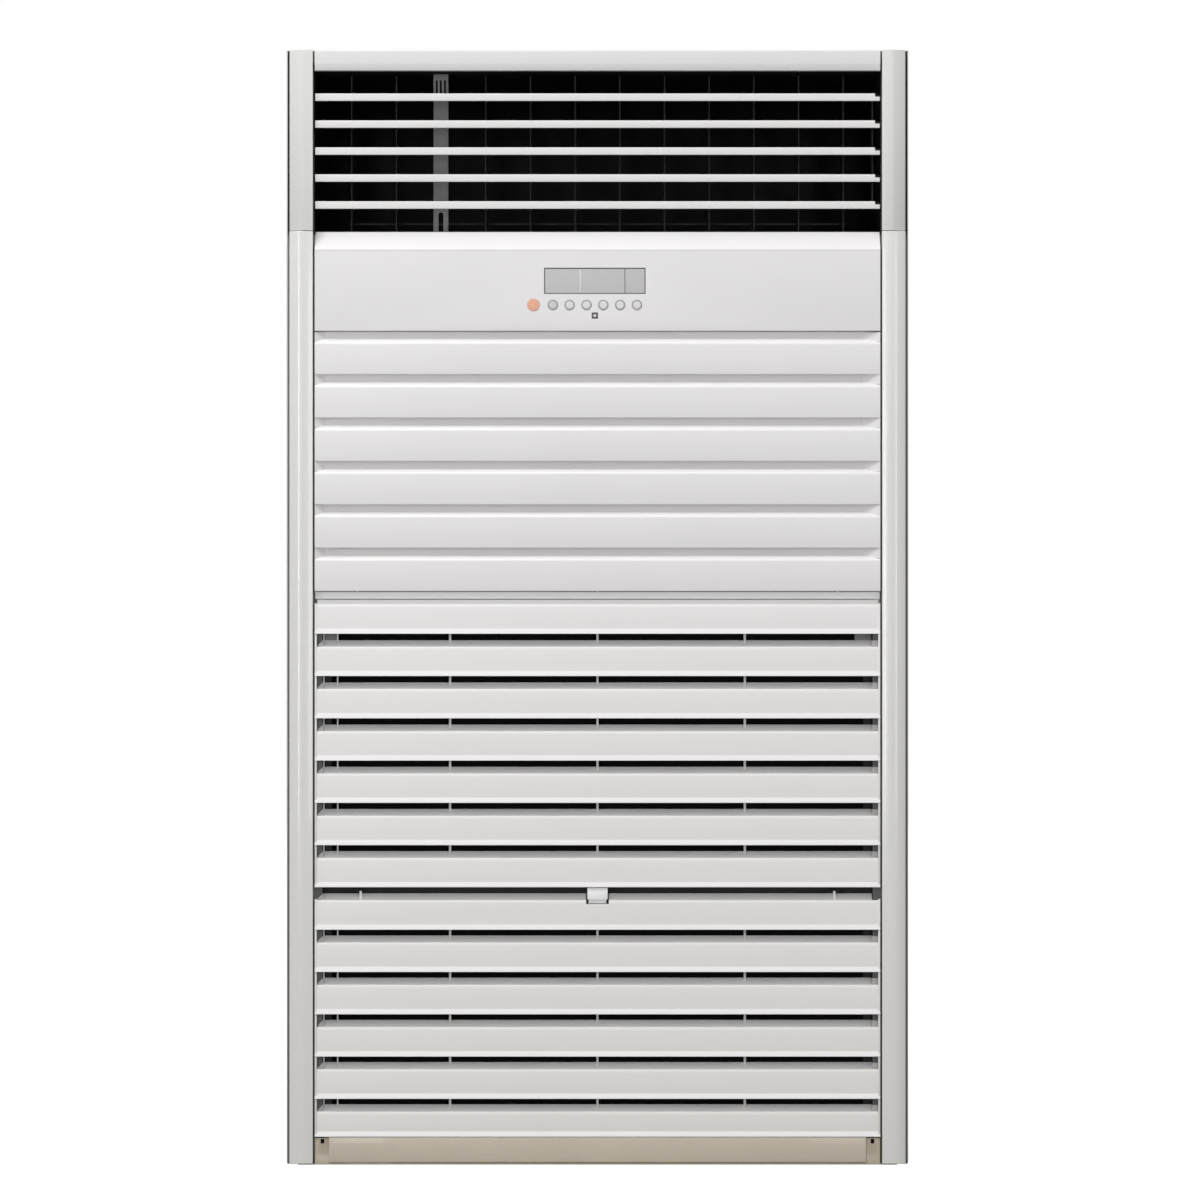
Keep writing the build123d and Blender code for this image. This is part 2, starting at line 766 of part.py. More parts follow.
def fin_band():
    """One sheet folded into fins, seen along the coil: both of its sides, corner by corner."""
    half_sheet = fin_thickness / 2
    deep = coil_thickness / 2 - half_sheet
    spacing = (2 * coil_half - fin_thickness) / (fin_count - 1)
    one_side = []
    other_side = []
    for k in range(fin_count):
        x = -coil_half + half_sheet + k * spacing
        up = 1 if k % 2 == 0 else -1
        for level in (-up * deep, up * deep):
            one_side.append((x - up * half_sheet, level + half_sheet))
            other_side.append((x + up * half_sheet, level - half_sheet))
    return one_side + other_side[::-1]


with BuildPart() as evaporator_coil:
    end_plane = Plane(origin=(0, *coil_low), x_dir=(1, 0, 0), z_dir=(0, *coil_along))
    with BuildSketch(end_plane):
        outline(fin_band())
    extrude(amount=coil_run)
    for start in (-coil_half - plate_thickness, coil_half):
        with BuildSketch(Plane.YZ.offset(start)):
            coil_face(plate_margin)
            outline([(coil_low[0] - foot_half, pan_floor), (coil_low[0] + foot_half, pan_floor),
                     (coil_low[0] + foot_half, coil_low[1] + foot_half),
                     (coil_low[0] - foot_half, coil_low[1] + foot_half)])
            outline([(channel_back, coil_high[1] - tab_half), (channel_back, coil_high[1] + tab_half),
                     (channel_back + tab_length, coil_high[1] + tab_half),
                     (channel_back + tab_length, coil_high[1] - tab_half)])
        extrude(amount=plate_thickness)
save(evaporator_coil, "evaporator_coil")

# ---- refrigerant pipes at the coil's right end ----
gas_r = 14.3
gas_forward = 15.0  # stubs' places in the pipe port, from its middle
gas_plate_gap = 1.7
gas_bend = 22.0
liquid_r = 6.35
liquid_behind = 27.0
pipe_gap = 3.35
liquid_bend = 14.0
stub_sink = 10.0  # the stubs end inside the side panel
header_run = 600.0
feeder_count = 5
liquid_up = 0.36  # the liquid pipe's inlet, as a share of the coil's run
liquid_row = 18.0
tube_r = 4.75
bend_reach = 14.0
bend_count = 7
bend_row = -24.0
plate_outer = coil_half + plate_thickness
gas_x = plate_outer + gas_r + gas_plate_gap
gas_y = port_y - gas_forward
liquid_x = gas_x + gas_r + liquid_r + pipe_gap
liquid_y = port_y + liquid_behind
pipe_end = half_width - stub_sink


def pipe_along(points, bend, radius):
    """A round pipe along straight runs joined by bends, starting towards -X."""
    with BuildPart() as pipe:
        with BuildLine() as route:
            FilletPolyline(*points, radius=bend)
        with BuildSketch(Plane(origin=points[0], x_dir=(0, 1, 0), z_dir=(-1, 0, 0))):
            Circle(radius)
        sweep(path=route.wires()[0])
    return pipe


gas_top = (gas_y + coil_along[0] * header_run, port_z + coil_along[1] * header_run)
gas_route = [(pipe_end, gas_y, port_z), (gas_x, gas_y, port_z), (gas_x, *gas_top)]
liquid_inlet = coil_point(coil_run * liquid_up, liquid_row)
liquid_route = [(pipe_end, liquid_y, port_z), (liquid_x, liquid_y, port_z),
                (liquid_x, *liquid_inlet), (plate_outer, *liquid_inlet)]
gas_pipe = pipe_along(gas_route, gas_bend, gas_r)
liquid_pipe = pipe_along(liquid_route, liquid_bend, liquid_r)

with BuildPart() as refrigerant_pipes:
    add(gas_pipe.part)
    add(liquid_pipe.part)
    feeder_spacing = header_run / (feeder_count + 1)
    for k in range(1, feeder_count + 1):
        foot = (gas_y + coil_along[0] * feeder_spacing * k, port_z + coil_along[1] * feeder_spacing * k)
        with BuildSketch(Plane.YZ.offset(plate_outer)):
            with Locations(foot):
                Circle(tube_r)
        extrude(amount=gas_x - plate_outer)
    for k in range(bend_count):
        along = coil_run * (k + 1) / (bend_count + 1)
        first = coil_point(along - bend_reach, bend_row)
        with BuildSketch(Plane(origin=(plate_outer, *first), x_dir=(0, 0, 1), z_dir=(1, 0, 0))):
            Circle(tube_r)
        turn = Axis((plate_outer, *coil_point(along, bend_row)), (0, -coil_across[0], -coil_across[1]))
        revolve(axis=turn, revolution_arc=180)
save(refrigerant_pipes, "refrigerant_pipes")

# ---- electric box with its straps and board ----
box_half = 200.0
box_setback = 11.0
box_depth = 77.0
box_height = 135.0
box_above = 18.6  # above the seam under the blind panel
strap_height = 25.0
strap_depth = 3.0
strap_inset = 10.0
box_board = 1.6
box_post = 6.0
box_post_r = 3.0
board_inset = 15.0
relay_count = 4
relay_size = 30.0
relay_growth = 5.0
relay_spacing = 80.0
box_front = flange_y + box_setback
box_back = box_front + box_depth
box_low = blind_z + box_above
box_high = box_low + box_height

with BuildPart() as control_box:
    span((-box_half, box_front, box_low), (box_half, box_back, box_high))
    span((-box_half + sheet, box_front, box_low + sheet),
         (box_half - sheet, box_back - sheet, box_high - sheet), Mode.SUBTRACT)
    for strap_z in (box_low + strap_inset, box_high - strap_inset - strap_height):
        for side in (-1, 1):
            low, high = sorted((side * (box_half - sheet), side * frame_out))
            span((low, box_front, strap_z), (high, box_front + strap_depth, strap_z + strap_height))
            low, high = sorted((side * (flange_in + channel_step), side * frame_out))
            span((low, flange_back, strap_z), (high, box_front + strap_depth, strap_z + strap_height))
save(control_box, "control_box")

with BuildPart() as control_board:
    board_back = box_back - sheet - box_post
    board_front = board_back - box_board
    span((board_inset - box_half, board_front, box_low + board_inset),
         (box_half - board_inset, board_back, box_high - board_inset))
    relay_low = box_low + 2 * board_inset
    for k in range(relay_count):
        x = 2 * board_inset - box_half + k * relay_spacing
        size = relay_size + relay_growth * k
        span((x, board_front - size / 2, relay_low), (x + size, board_front, relay_low + relay_size))
    post_columns = (2 * board_inset - box_half, box_half - 2 * board_inset)
    post_rows = (relay_low, box_high - 2 * board_inset)
    with Locations(*[(x, board_back + box_post / 2, z) for x in post_columns for z in post_rows]):
        drilled(box_post_r, box_post, Mode.ADD)
save(control_board, "control_board")

# ---- outlet duct: black chamber with the louver and vane bearings ----
duct_gap = 1.5
duct_rear_gap = 30.1
duct_curve = 150.0
louver_count = 5
louver_pitch = 45.5
louver_setback = 36.5
louver_pin_r = 4.0
vane_end_room = 59.0  # from the front panels' ends to the end vanes
vane_places = 12
brace_index = 2  # the brace stands in this vane's place
vane_setback = 65.0  # behind the louvers' pins
vane_pin_r = 3.0
vane_pitch = 2 * (half_front - vane_end_room) / (vane_places - 1)
duct_side = half_front + duct_gap
duct_back = rear_inner - duct_rear_gap
louver_y = face_y + louver_setback
louver_mid = outlet_z + outlet_height / 2
vane_y = louver_y + vane_setback
louver_heights = [louver_mid + (louver_count - 1 - 2 * k) * louver_pitch / 2 for k in range(louver_count)]
vane_columns = [(k - (vane_places - 1) / 2) * vane_pitch for k in range(vane_places)]
brace_x = vane_columns.pop(brace_index)

wheel_r = 150.0
wheel_drop = 244.2  # the wheels' axis under the deck
tip_gap = 22.0  # between the wheels and the scrolls
scroll_in = 150.0
scroll_width = 270.0
scroll_wall = 1.5
scroll_step = 9.0  # each quarter of the scroll grows by this
scroll_quarters = 3
scroll_rear_gap = 1.0
tongue_reach = -58.8
scroll_r = wheel_r + tip_gap
scroll_out = scroll_in + scroll_width
scroll_growth = scroll_quarters * scroll_step
wheel_y = duct_back - scroll_rear_gap - scroll_r - scroll_growth
wheel_z = deck_under - wheel_drop


def scroll_section(inset, top):
    """The scroll's side view, walls moved in by inset, open upwards."""
    first_r = scroll_r - inset
    second_r = scroll_r + scroll_step - inset
    third_r = scroll_r + 2 * scroll_step - inset
    tongue = math.degrees(math.acos((tongue_reach + inset) / first_r))
    low_y = wheel_y + scroll_step
    low_z = wheel_z + scroll_step
    with BuildLine() as border:
        first = CenterArc((wheel_y, low_z), first_r, tongue, 180 - tongue)
        CenterArc((low_y, low_z), second_r, 180, 90)
        last = CenterArc((low_y, low_z + scroll_step), third_r, 270, 90)
        rear_y = low_y + third_r
        front_wall = wheel_y + tongue_reach + inset
        Polyline((last @ 1), (rear_y, top), (front_wall, top), (first @ 0))
    make_face(border.edges())


outlet_rear = wheel_y + scroll_growth + scroll_r
outlet_front = wheel_y + tongue_reach


def scroll_openings(wall):
    """Air passages from both scrolls, cut through a level plate."""
    for side in (-1, 1):
        low, high = sorted((side * (scroll_in + scroll_wall), side * (scroll_out - scroll_wall)))
        span((low, outlet_front + scroll_wall, deck_under - wall),
             (high, outlet_rear - scroll_wall, outlet_z + wall), Mode.SUBTRACT)


def chamber_section(grow):
    with BuildLine() as border:
        corner_y = duct_back - duct_curve
        corner_z = header_z - duct_curve
        rear = duct_back + grow
        radius = duct_curve + grow
        Polyline((corner_y, header_z + grow), (flange_back, header_z + grow),
                 (flange_back, outlet_z - grow), (rear, outlet_z - grow), (rear, corner_z))
        CenterArc((corner_y, corner_z), radius, 0, 90)
    make_face(border.edges())


with BuildPart() as outlet_duct:
    with BuildSketch(Plane.YZ.offset(-duct_side - duct_wall)):
        chamber_section(duct_wall)
    extrude(amount=2 * (duct_side + duct_wall))
    with BuildSketch(Plane.YZ.offset(-duct_side)):
        chamber_section(0)
    extrude(amount=2 * duct_side, mode=Mode.SUBTRACT)
    span((-duct_side - duct_wall, flange_back, deck_top - duct_wall),
         (duct_side + duct_wall, sill_y, outlet_z), Mode.SUBTRACT)
    scroll_openings(duct_wall)
    for z in louver_heights:
        with BuildSketch(Plane.YZ.offset(-duct_side - duct_wall)):
            with Locations((louver_y, z)):
                Circle(louver_pin_r + running_gap)
        extrude(amount=2 * (duct_side + duct_wall), mode=Mode.SUBTRACT)
    for x in vane_columns:
        with Locations((x, vane_y, (outlet_z + header_z) / 2)):
            Cylinder(vane_pin_r + running_gap, outlet_height + 4 * duct_wall, mode=Mode.SUBTRACT)
save(outlet_duct, "outlet_duct")

# ---- brace in the outlet: a forked upright between floor and roof ----
louver_chord = 56.0
brace_gap = 6.0
brace_width = 25.2
brace_depth = 6.0
brace_sheet = 1.5
fork_gap = 8.0
fork_height = 36.0
slot_count = 3
slot_length = 26.0
slot_width = 3.0
slot_pitch = 7.0
slot_drop = 10.0
brace_front = louver_y + louver_chord / 2 + brace_gap

with BuildPart() as outlet_brace:
    half = brace_width / 2
    span((brace_x - half, brace_front, outlet_z), (brace_x + half, brace_front + brace_depth, header_z))
    span((brace_x - half + brace_sheet, brace_front + brace_sheet, outlet_z),
         (brace_x + half - brace_sheet, brace_front + brace_depth, header_z), Mode.SUBTRACT)
    with BuildSketch(front_plane(brace_front + brace_sheet)):
        with Locations((brace_x, outlet_z)):
            SlotOverall(2 * fork_height, fork_gap, rotation=90)
        for k in range(slot_count):
            across = (k - (slot_count - 1) / 2) * slot_pitch
            with Locations((brace_x + across, header_z - slot_drop - slot_length / 2)):
                SlotOverall(slot_length, slot_width, rotation=90)
    extrude(amount=brace_sheet, mode=Mode.SUBTRACT)
save(outlet_brace, "outlet_brace")

# ---- louvers: wide horizontal blades, pinned in the duct's side walls ----
louver_end_gap = 0.5  # louvers end inside the front panels' ends
louver_nose = 12.6
nose_bulge = 1.5
louver_tail = 3.0
pin_sink = 1.0  # pins end inside the duct wall's outer face
link_inset = 10.75
link_arm = 24.0
link_pin_r = 2.0
link_slot = 7.0
link_slot_depth = 8.0
notch_width = 8.0
notch_height = 4.5
louver_half = half_front - louver_end_gap
louver_pin_past = duct_side + duct_wall - pin_sink
link_x = half_front - link_inset


def louver(z):
    with BuildPart() as blade:
        front = louver_y - louver_chord / 2
        rear = louver_y + louver_chord / 2
        half = louver_nose / 2
        with BuildSketch(Plane.YZ.offset(-louver_half)):
            with BuildLine():
                ThreePointArc((front + nose_bulge, z - half), (front, z), (front + nose_bulge, z + half))
                Line((front + nose_bulge, z + half), (rear, z + louver_tail / 2))
                Line((rear, z + louver_tail / 2), (rear, z - louver_tail / 2))
                Line((rear, z - louver_tail / 2), (front + nose_bulge, z - half))
            make_face()
        extrude(amount=2 * louver_half)
        span((link_x - link_slot / 2, louver_y + link_arm - link_slot_depth, z - louver_nose),
             (link_x + link_slot / 2, rear + 1, z + louver_nose), Mode.SUBTRACT)
        with BuildSketch(Plane.YZ.offset(link_x - link_slot / 2 - 1)):
            with Locations((louver_y + link_arm, z)):
                Circle(link_pin_r)
        extrude(amount=link_slot + 2)
        span((louver_half - notch_width, front - 1, z + half - notch_height),
             (louver_half + 1, front + louver_nose, z + half + 1), Mode.SUBTRACT)
        for side in (-1, 1):
            low, high = sorted((side * (louver_half - 1), side * louver_pin_past))
            with BuildSketch(Plane.YZ.offset(low)):
                with Locations((louver_y, z)):
                    Circle(louver_pin_r)
            extrude(amount=high - low)
    return blade


for k, z in enumerate(louver_heights):
    save(louver(z), f"louver_{k + 1}")

# ---- louver link: an upright bar that joins the blades' rear pins ----
link_width = 7.0
link_thickness = 2.5
link_past = 6.0

with BuildPart() as louver_link:
    bar_y = louver_y + link_arm
    span((link_x - link_thickness / 2, bar_y - link_width / 2, louver_heights[-1] - link_past),
         (link_x + link_thickness / 2, bar_y + link_width / 2, louver_heights[0] + link_past))
    for z in louver_heights:
        with BuildSketch(Plane.YZ.offset(link_x - link_thickness / 2)):
            with Locations((bar_y, z)):
                Circle(link_pin_r + open_gap)
        extrude(amount=link_thickness, mode=Mode.SUBTRACT)
save(louver_link, "louver_link")

# ---- vanes: upright blades behind the louvers ----
vane_thickness = 3.0
vane_front = 20.0
vane_rear = 50.0
vane_end_gap = 2.0
vane_arm = 35.0
vane_link_pin = 1.5
vane_link_rise = 20.3
vane_pin_sink = 0.5
window_half = 8.0
vane_window = 11.0
vane_link_thickness = 3.0
driven_vane = 5  # counted from nought at the left
motor_pin = 10.0
motor_pin_room = 1.0
vane_link_z = outlet_z + vane_link_rise


def vane(x, below):
    with BuildPart() as blade:
        low = outlet_z + vane_end_gap
        high = header_z - vane_end_gap
        half = vane_thickness / 2
        span((x - half, vane_y - vane_front, low), (x + half, vane_y + vane_rear, high))
        middle = vane_y + vane_arm
        span((x - half, middle - window_half, vane_link_z - vane_window / 2),
             (x + half, middle + window_half, vane_link_z + vane_window / 2), Mode.SUBTRACT)
        with Locations((x, middle, vane_link_z)):
            Cylinder(vane_link_pin, vane_window + 1)
        top_end = header_z + duct_wall - vane_pin_sink
        with BuildSketch(Plane.XY.offset(low - vane_end_gap - below)):
            with Locations((x, vane_y)):
                Circle(vane_pin_r)
        extrude(amount=vane_end_gap + below + 1)
        with BuildSketch(Plane.XY.offset(high - 1)):
            with Locations((x, vane_y)):
                Circle(vane_pin_r)
        extrude(amount=top_end - high + 1)
    return blade


for k, x in enumerate(vane_columns):
    reach = duct_wall + tray_wall + motor_pin if k == driven_vane else duct_wall - vane_pin_sink
    save(vane(x, reach), f"vane_{k + 1}")

# ---- vane link: a level bar through the vanes' windows ----
with BuildPart() as vane_link:
    bar_y = vane_y + vane_arm
    half = vane_link_thickness / 2
    span((vane_columns[0] - link_past, bar_y - link_width / 2, vane_link_z - half),
         (vane_columns[-1] + link_past, bar_y + link_width / 2, vane_link_z + half))
    with Locations(*[(x, bar_y, vane_link_z) for x in vane_columns]):
        Cylinder(vane_link_pin + open_gap, 2 * vane_link_thickness, mode=Mode.SUBTRACT)
save(vane_link, "vane_link")

# ---- swing motor under the deck, on the driven vane's pin ----
swing_r = 14.0
swing_height = 18.0
swing_ear = 21.0

with BuildPart() as swing_motor:
    with BuildSketch(Plane.XY.offset(deck_under - swing_height)):
        with Locations((vane_columns[driven_vane], vane_y)):
            Circle(swing_r)
    extrude(amount=swing_height)
    with BuildSketch(Plane.XY.offset(deck_under - sheet)):
        with Locations((vane_columns[driven_vane], vane_y)):
            SlotOverall(2 * swing_ear, swing_r)
    extrude(amount=sheet)
    with BuildSketch(Plane.XY.offset(deck_under - motor_pin - motor_pin_room)):
        with Locations((vane_columns[driven_vane], vane_y)):
            Circle(vane_pin_r + running_gap)
    extrude(amount=motor_pin + motor_pin_room, mode=Mode.SUBTRACT)
save(swing_motor, "swing_motor")

# ---- blower deck, with the motor cradle hanging from it ----
motor_r = 85.0
motor_half = 100.0
cradle_inset = 20.0
cradle_wall = 3.0
cradle_margin = 25.0
cradle_gap = 0.1
deck_setback = 2.0
deck_hole_gap = 2.0
cradle_x = motor_half - cradle_inset
deck_front = sill_y + deck_setback

with BuildPart() as blower_deck:
    span((-side_inner, deck_front, deck_under), (side_inner, rear_inner, deck_top))
    span((-side_inner, deck_front, deck_under - deck_flange), (side_inner, rear_inner, deck_under))
    span((-side_inner + tray_wall, deck_front + tray_wall, deck_under - deck_flange),
         (side_inner - tray_wall, rear_inner - tray_wall, deck_under), Mode.SUBTRACT)
    for side in (-1, 1):
        low, high = sorted((side * cradle_x, side * (cradle_x + cradle_wall)))
        reach = motor_r + cradle_margin
        span((low, wheel_y - reach, wheel_z - reach), (high, wheel_y + reach, deck_under))
        with BuildSketch(Plane.YZ.offset(low)):
            with Locations((wheel_y, wheel_z)):
                Circle(motor_r + cradle_gap)
        extrude(amount=cradle_wall, mode=Mode.SUBTRACT)
    scroll_openings(duct_wall)
    with Locations((vane_columns[driven_vane], vane_y, deck_under)):
        Cylinder(vane_pin_r + deck_hole_gap, 4 * tray_wall, mode=Mode.SUBTRACT)
    rear_screw_holes([deck_screw_z])
save(blower_deck, "blower_deck")

# ---- blower scrolls ----
inlet_r = 125.0  # air enters the scrolls at their sides

with BuildPart() as blower_scrolls:
    for side in (-1, 1):
        start = min(side * scroll_in, side * scroll_out)
        width = scroll_out - scroll_in
        with BuildSketch(Plane.YZ.offset(start)):
            scroll_section(0, deck_under)
        extrude(amount=width)
        with BuildSketch(Plane.YZ.offset(start + scroll_wall)):
            scroll_section(scroll_wall, deck_under)
        extrude(amount=width - 2 * scroll_wall, mode=Mode.SUBTRACT)
        with BuildSketch(Plane.YZ.offset(start)):
            with Locations((wheel_y, wheel_z)):
                Circle(inlet_r)
        extrude(amount=width, mode=Mode.SUBTRACT)
save(blower_scrolls, "blower_scrolls")

# ---- blower motor, shaft, bearings and wheels ----
shaft_r = 10.0
shaft_past = 20.0
stator_wall = 35.0
rotor_half = 60.0
rotor_gap = 1.0
bearing_r = 25.0
bearing_width = 6.0
spider_gap = 1.0
spider_ring = 12.0
arm_count = 3
arm_width = 14.0
arm_overlap = 6.0
wheel_end_gap = 15.0
blade_reach = 24.0
ring_width = 8.0
disc_width = 4.0
hub_r = 28.0
hub_half = 25.0
seat_gap = 0.02
blade_count = 36
blade_thickness = 1.6
blade_lean = 30.0
blade_inset = 2.0
shaft_half = scroll_out + shaft_past
stator_bore = motor_r - stator_wall
rotor_r = stator_bore - rotor_gap
spider_in = inlet_r + spider_gap
spider_out = spider_in + spider_ring
wheel_bore = wheel_r - blade_reach
wheel_in = scroll_in + wheel_end_gap
wheel_width = scroll_width - 2 * wheel_end_gap


def disc(start, radius, width, mode=Mode.ADD):
    """A round plate across the blower's axis."""
    with BuildSketch(Plane.YZ.offset(start)) as face:
        with Locations((wheel_y, wheel_z)):
            Circle(radius)
    extrude(face.sketch, amount=width, mode=mode)


with BuildPart() as blower_motor:
    disc(-motor_half, motor_r, 2 * motor_half)
    disc(-rotor_half - rotor_gap, stator_bore, 2 * (rotor_half + rotor_gap), Mode.SUBTRACT)
    disc(-motor_half, shaft_r + running_gap, 2 * motor_half, Mode.SUBTRACT)
save(blower_motor, "blower_motor")

with BuildPart() as fan_shaft:
    disc(-shaft_half, shaft_r, 2 * shaft_half)
    disc(-rotor_half, rotor_r, 2 * rotor_half)
save(fan_shaft, "fan_shaft")

with BuildPart() as shaft_bearings:
    for side in (-1, 1):
        start = min(side * scroll_out, side * (scroll_out + bearing_width))
        with BuildSketch(Plane.YZ.offset(start)):
            with Locations((wheel_y, wheel_z)):
                Circle(spider_out)
                Circle(spider_in, mode=Mode.SUBTRACT)
                with PolarLocations((spider_in + bearing_r) / 2, arm_count, start_angle=90):
                    Rectangle(spider_in - bearing_r + arm_overlap, arm_width)
                Circle(bearing_r)
                Circle(shaft_r + running_gap, mode=Mode.SUBTRACT)
        extrude(amount=bearing_width)
save(shaft_bearings, "shaft_bearings")

with BuildPart() as fan_wheels:
    for side in (-1, 1):
        start = min(side * wheel_in, side * (wheel_in + wheel_width))
        middle = start + wheel_width / 2
        blade_length = blade_reach - blade_inset
        with BuildSketch(Plane.YZ.offset(start)):
            with Locations((wheel_y, wheel_z)):
                with PolarLocations((wheel_r + wheel_bore) / 2, blade_count):
                    Rectangle(blade_length, blade_thickness, rotation=blade_lean)
        extrude(amount=wheel_width)
        for place in (start, start + wheel_width - ring_width):
            disc(place, wheel_r, ring_width)
            disc(place, wheel_bore, ring_width, Mode.SUBTRACT)
        disc(middle - disc_width / 2, wheel_r - blade_inset, disc_width)
        disc(middle - hub_half, hub_r, 2 * hub_half)
        disc(start, shaft_r + seat_gap, wheel_width, Mode.SUBTRACT)
save(fan_wheels, "fan_wheels")

print("overall", 2 * half_width, cabinet_depth, top_z)
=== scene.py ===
import math

import bpy
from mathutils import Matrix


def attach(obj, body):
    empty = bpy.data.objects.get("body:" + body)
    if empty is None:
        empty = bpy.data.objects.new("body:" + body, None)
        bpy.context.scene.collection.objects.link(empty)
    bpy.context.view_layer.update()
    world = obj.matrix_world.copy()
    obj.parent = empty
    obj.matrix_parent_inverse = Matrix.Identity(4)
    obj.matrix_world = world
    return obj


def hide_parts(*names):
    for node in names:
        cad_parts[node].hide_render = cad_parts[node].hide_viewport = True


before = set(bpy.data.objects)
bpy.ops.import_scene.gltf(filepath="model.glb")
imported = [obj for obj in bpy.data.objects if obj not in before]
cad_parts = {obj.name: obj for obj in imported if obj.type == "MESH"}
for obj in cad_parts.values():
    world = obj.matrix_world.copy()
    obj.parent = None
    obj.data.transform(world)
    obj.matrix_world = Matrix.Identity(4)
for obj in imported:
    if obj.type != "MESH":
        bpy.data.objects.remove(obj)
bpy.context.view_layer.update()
print("frame loaded")

bpy.context.scene.view_settings.view_transform = "Standard"
hair = 1e-4  # how near a corner has to be to count
lap = 0.001  # how far joined parts reach into each other, and cutters past what they cut


# ways of working with Blender's own operators

def letGo():
    # an operator acts on all that is selected, so nothing stays selected
    if bpy.context.object and bpy.context.object.mode == "EDIT":
        bpy.ops.object.mode_set(mode="OBJECT")
    bpy.ops.object.select_all(action="DESELECT")


def takeUp(piece):
    letGo()
    piece.select_set(True)
    bpy.context.view_layer.objects.active = piece


def fixPlace(piece):
    # the place goes into the mesh
    takeUp(piece)
    bpy.ops.object.transform_apply(location=True, rotation=True, scale=True)


def block(name, low, high):
    letGo()
    bpy.ops.mesh.primitive_cube_add(size=1, location=[(a + b) / 2 for a, b in zip(low, high)])
    piece = bpy.context.object
    piece.name = name
    piece.scale = [b - a for a, b in zip(low, high)]
    fixPlace(piece)
    return piece


def bar(name, x, half, ys, zs):
    return block(name, (x - half, ys[0], zs[0]), (x + half, ys[1], zs[1]))


def sideBlock(name, side, reach, ys, zs):
    # reach is told as distances from the middle; side is -1 for the left
    xs = sorted(side * far for far in reach)
    return block(name, (xs[0], ys[0], zs[0]), (xs[1], ys[1], zs[1]))


def rod(name, axis, start, radius, length, sides=32):
    turn = {"X": (0, math.pi / 2, 0), "Y": (math.pi / 2, 0, 0), "Z": (0, 0, 0)}[axis]
    middle = list(start)
    middle["XYZ".index(axis)] += length / 2
    letGo()
    bpy.ops.mesh.primitive_cylinder_add(vertices=sides, radius=radius, depth=length, location=middle,
                                        rotation=turn)
    piece = bpy.context.object
    piece.name = name
    fixPlace(piece)
    return piece


def chooseFaces(piece, wanted):
    takeUp(piece)
    bpy.ops.object.mode_set(mode="EDIT")
    bpy.ops.mesh.select_mode(type="FACE")
    bpy.ops.mesh.select_all(action="DESELECT")
    bpy.ops.object.mode_set(mode="OBJECT")
    for face in piece.data.polygons:
        face.select = wanted(face.center, face.normal)
    bpy.ops.object.mode_set(mode="EDIT")


def chooseEdges(piece, wanted):
    takeUp(piece)
    bpy.ops.object.mode_set(mode="EDIT")
    bpy.ops.mesh.select_mode(type="EDGE")
    bpy.ops.mesh.select_all(action="DESELECT")
    bpy.ops.object.mode_set(mode="OBJECT")
    points = piece.data.vertices
    for edge in piece.data.edges:
        a, b = [points[i].co for i in edge.vertices]
        edge.select = wanted(a, b)
    bpy.ops.object.mode_set(mode="EDIT")


def roundEdges(piece, wanted, width, steps=3):
    chooseEdges(piece, wanted)
    bpy.ops.mesh.bevel(offset=width, offset_type="OFFSET", segments=steps, profile=0.5, affect="EDGES")
    letGo()


def shiftEdges(piece, wanted, step):
    chooseEdges(piece, wanted)
    bpy.ops.transform.translate(value=step)
    letGo()


def bothEnds(test):
    # picks the edges whose two ends pass
    return lambda a, b: test(a) and test(b)


def longFront(y):
    # picks the long edges of the front at y
    return lambda a, b: max(a.y, b.y) < y + hair and abs(a.x - b.x) > 0.5


def facesFront(centre, normal):
    return normal.y < -0.9


def sinkFront(piece, rim, depth):
    # the front goes back inside a rim
    chooseFaces(piece, facesFront)
    bpy.ops.mesh.inset(thickness=rim, depth=0)
    bpy.ops.mesh.extrude_region_move(TRANSFORM_OT_translate={"value": (0, depth, 0)})
    letGo()


def modify(piece, kind, **settings):
    takeUp(piece)
    bpy.ops.object.modifier_add(type=kind)
    modifier = piece.modifiers[-1]
    for key, value in settings.items():
        setattr(modifier, key, value)
    bpy.ops.object.modifier_apply(modifier=modifier.name)


def thicken(piece, wall):
    modify(piece, "SOLIDIFY", thickness=wall, offset=-1, use_even_offset=True)


def soften(piece, width, steps=2, angle=35):
    modify(piece, "BEVEL", width=width, segments=steps, limit_method="ANGLE", angle_limit=math.radians(angle))


def cutAway(piece, *cutters):
    for cutter in cutters:
        modify(piece, "BOOLEAN", operation="DIFFERENCE", object=cutter, solver="EXACT")
        bpy.data.objects.remove(cutter, do_unlink=True)


def foldedStrip(name, ends, path):
    # a strip along X, extruded from edge to edge through the corners of its end view, each (y, z)
    (y0, z0), (y1, z1) = path[:2]
    letGo()
    bpy.ops.mesh.primitive_plane_add(size=1, location=((ends[0] + ends[1]) / 2, (y0 + y1) / 2, (z0 + z1) / 2),
                                     rotation=(math.atan2(z1 - z0, y1 - y0), 0, 0))
    strip = bpy.context.object
    strip.name = name
    strip.scale = (ends[1] - ends[0], math.hypot(y1 - y0, z1 - z0), 1)
    fixPlace(strip)
    chooseEdges(strip, bothEnds(lambda p: math.hypot(p.y - y1, p.z - z1) < 1e-5))
    for (fromY, fromZ), (toY, toZ) in zip(path[1:], path[2:]):
        bpy.ops.mesh.extrude_region_move(TRANSFORM_OT_translate={"value": (0, toY - fromY, toZ - fromZ)})
    letGo()
    return strip


def foldAt(y, z):
    # picks the long edges that run through one corner of the end view
    return lambda a, b: all(math.hypot(p.y - y, p.z - z) < 2e-4 for p in (a, b)) and abs(a.x - b.x) > 1e-3


def copyOf(piece, name, step):
    takeUp(piece)
    bpy.ops.object.duplicate(linked=False)
    copy = bpy.context.object
    copy.name = name
    copy.location = step
    fixPlace(copy)
    return copy


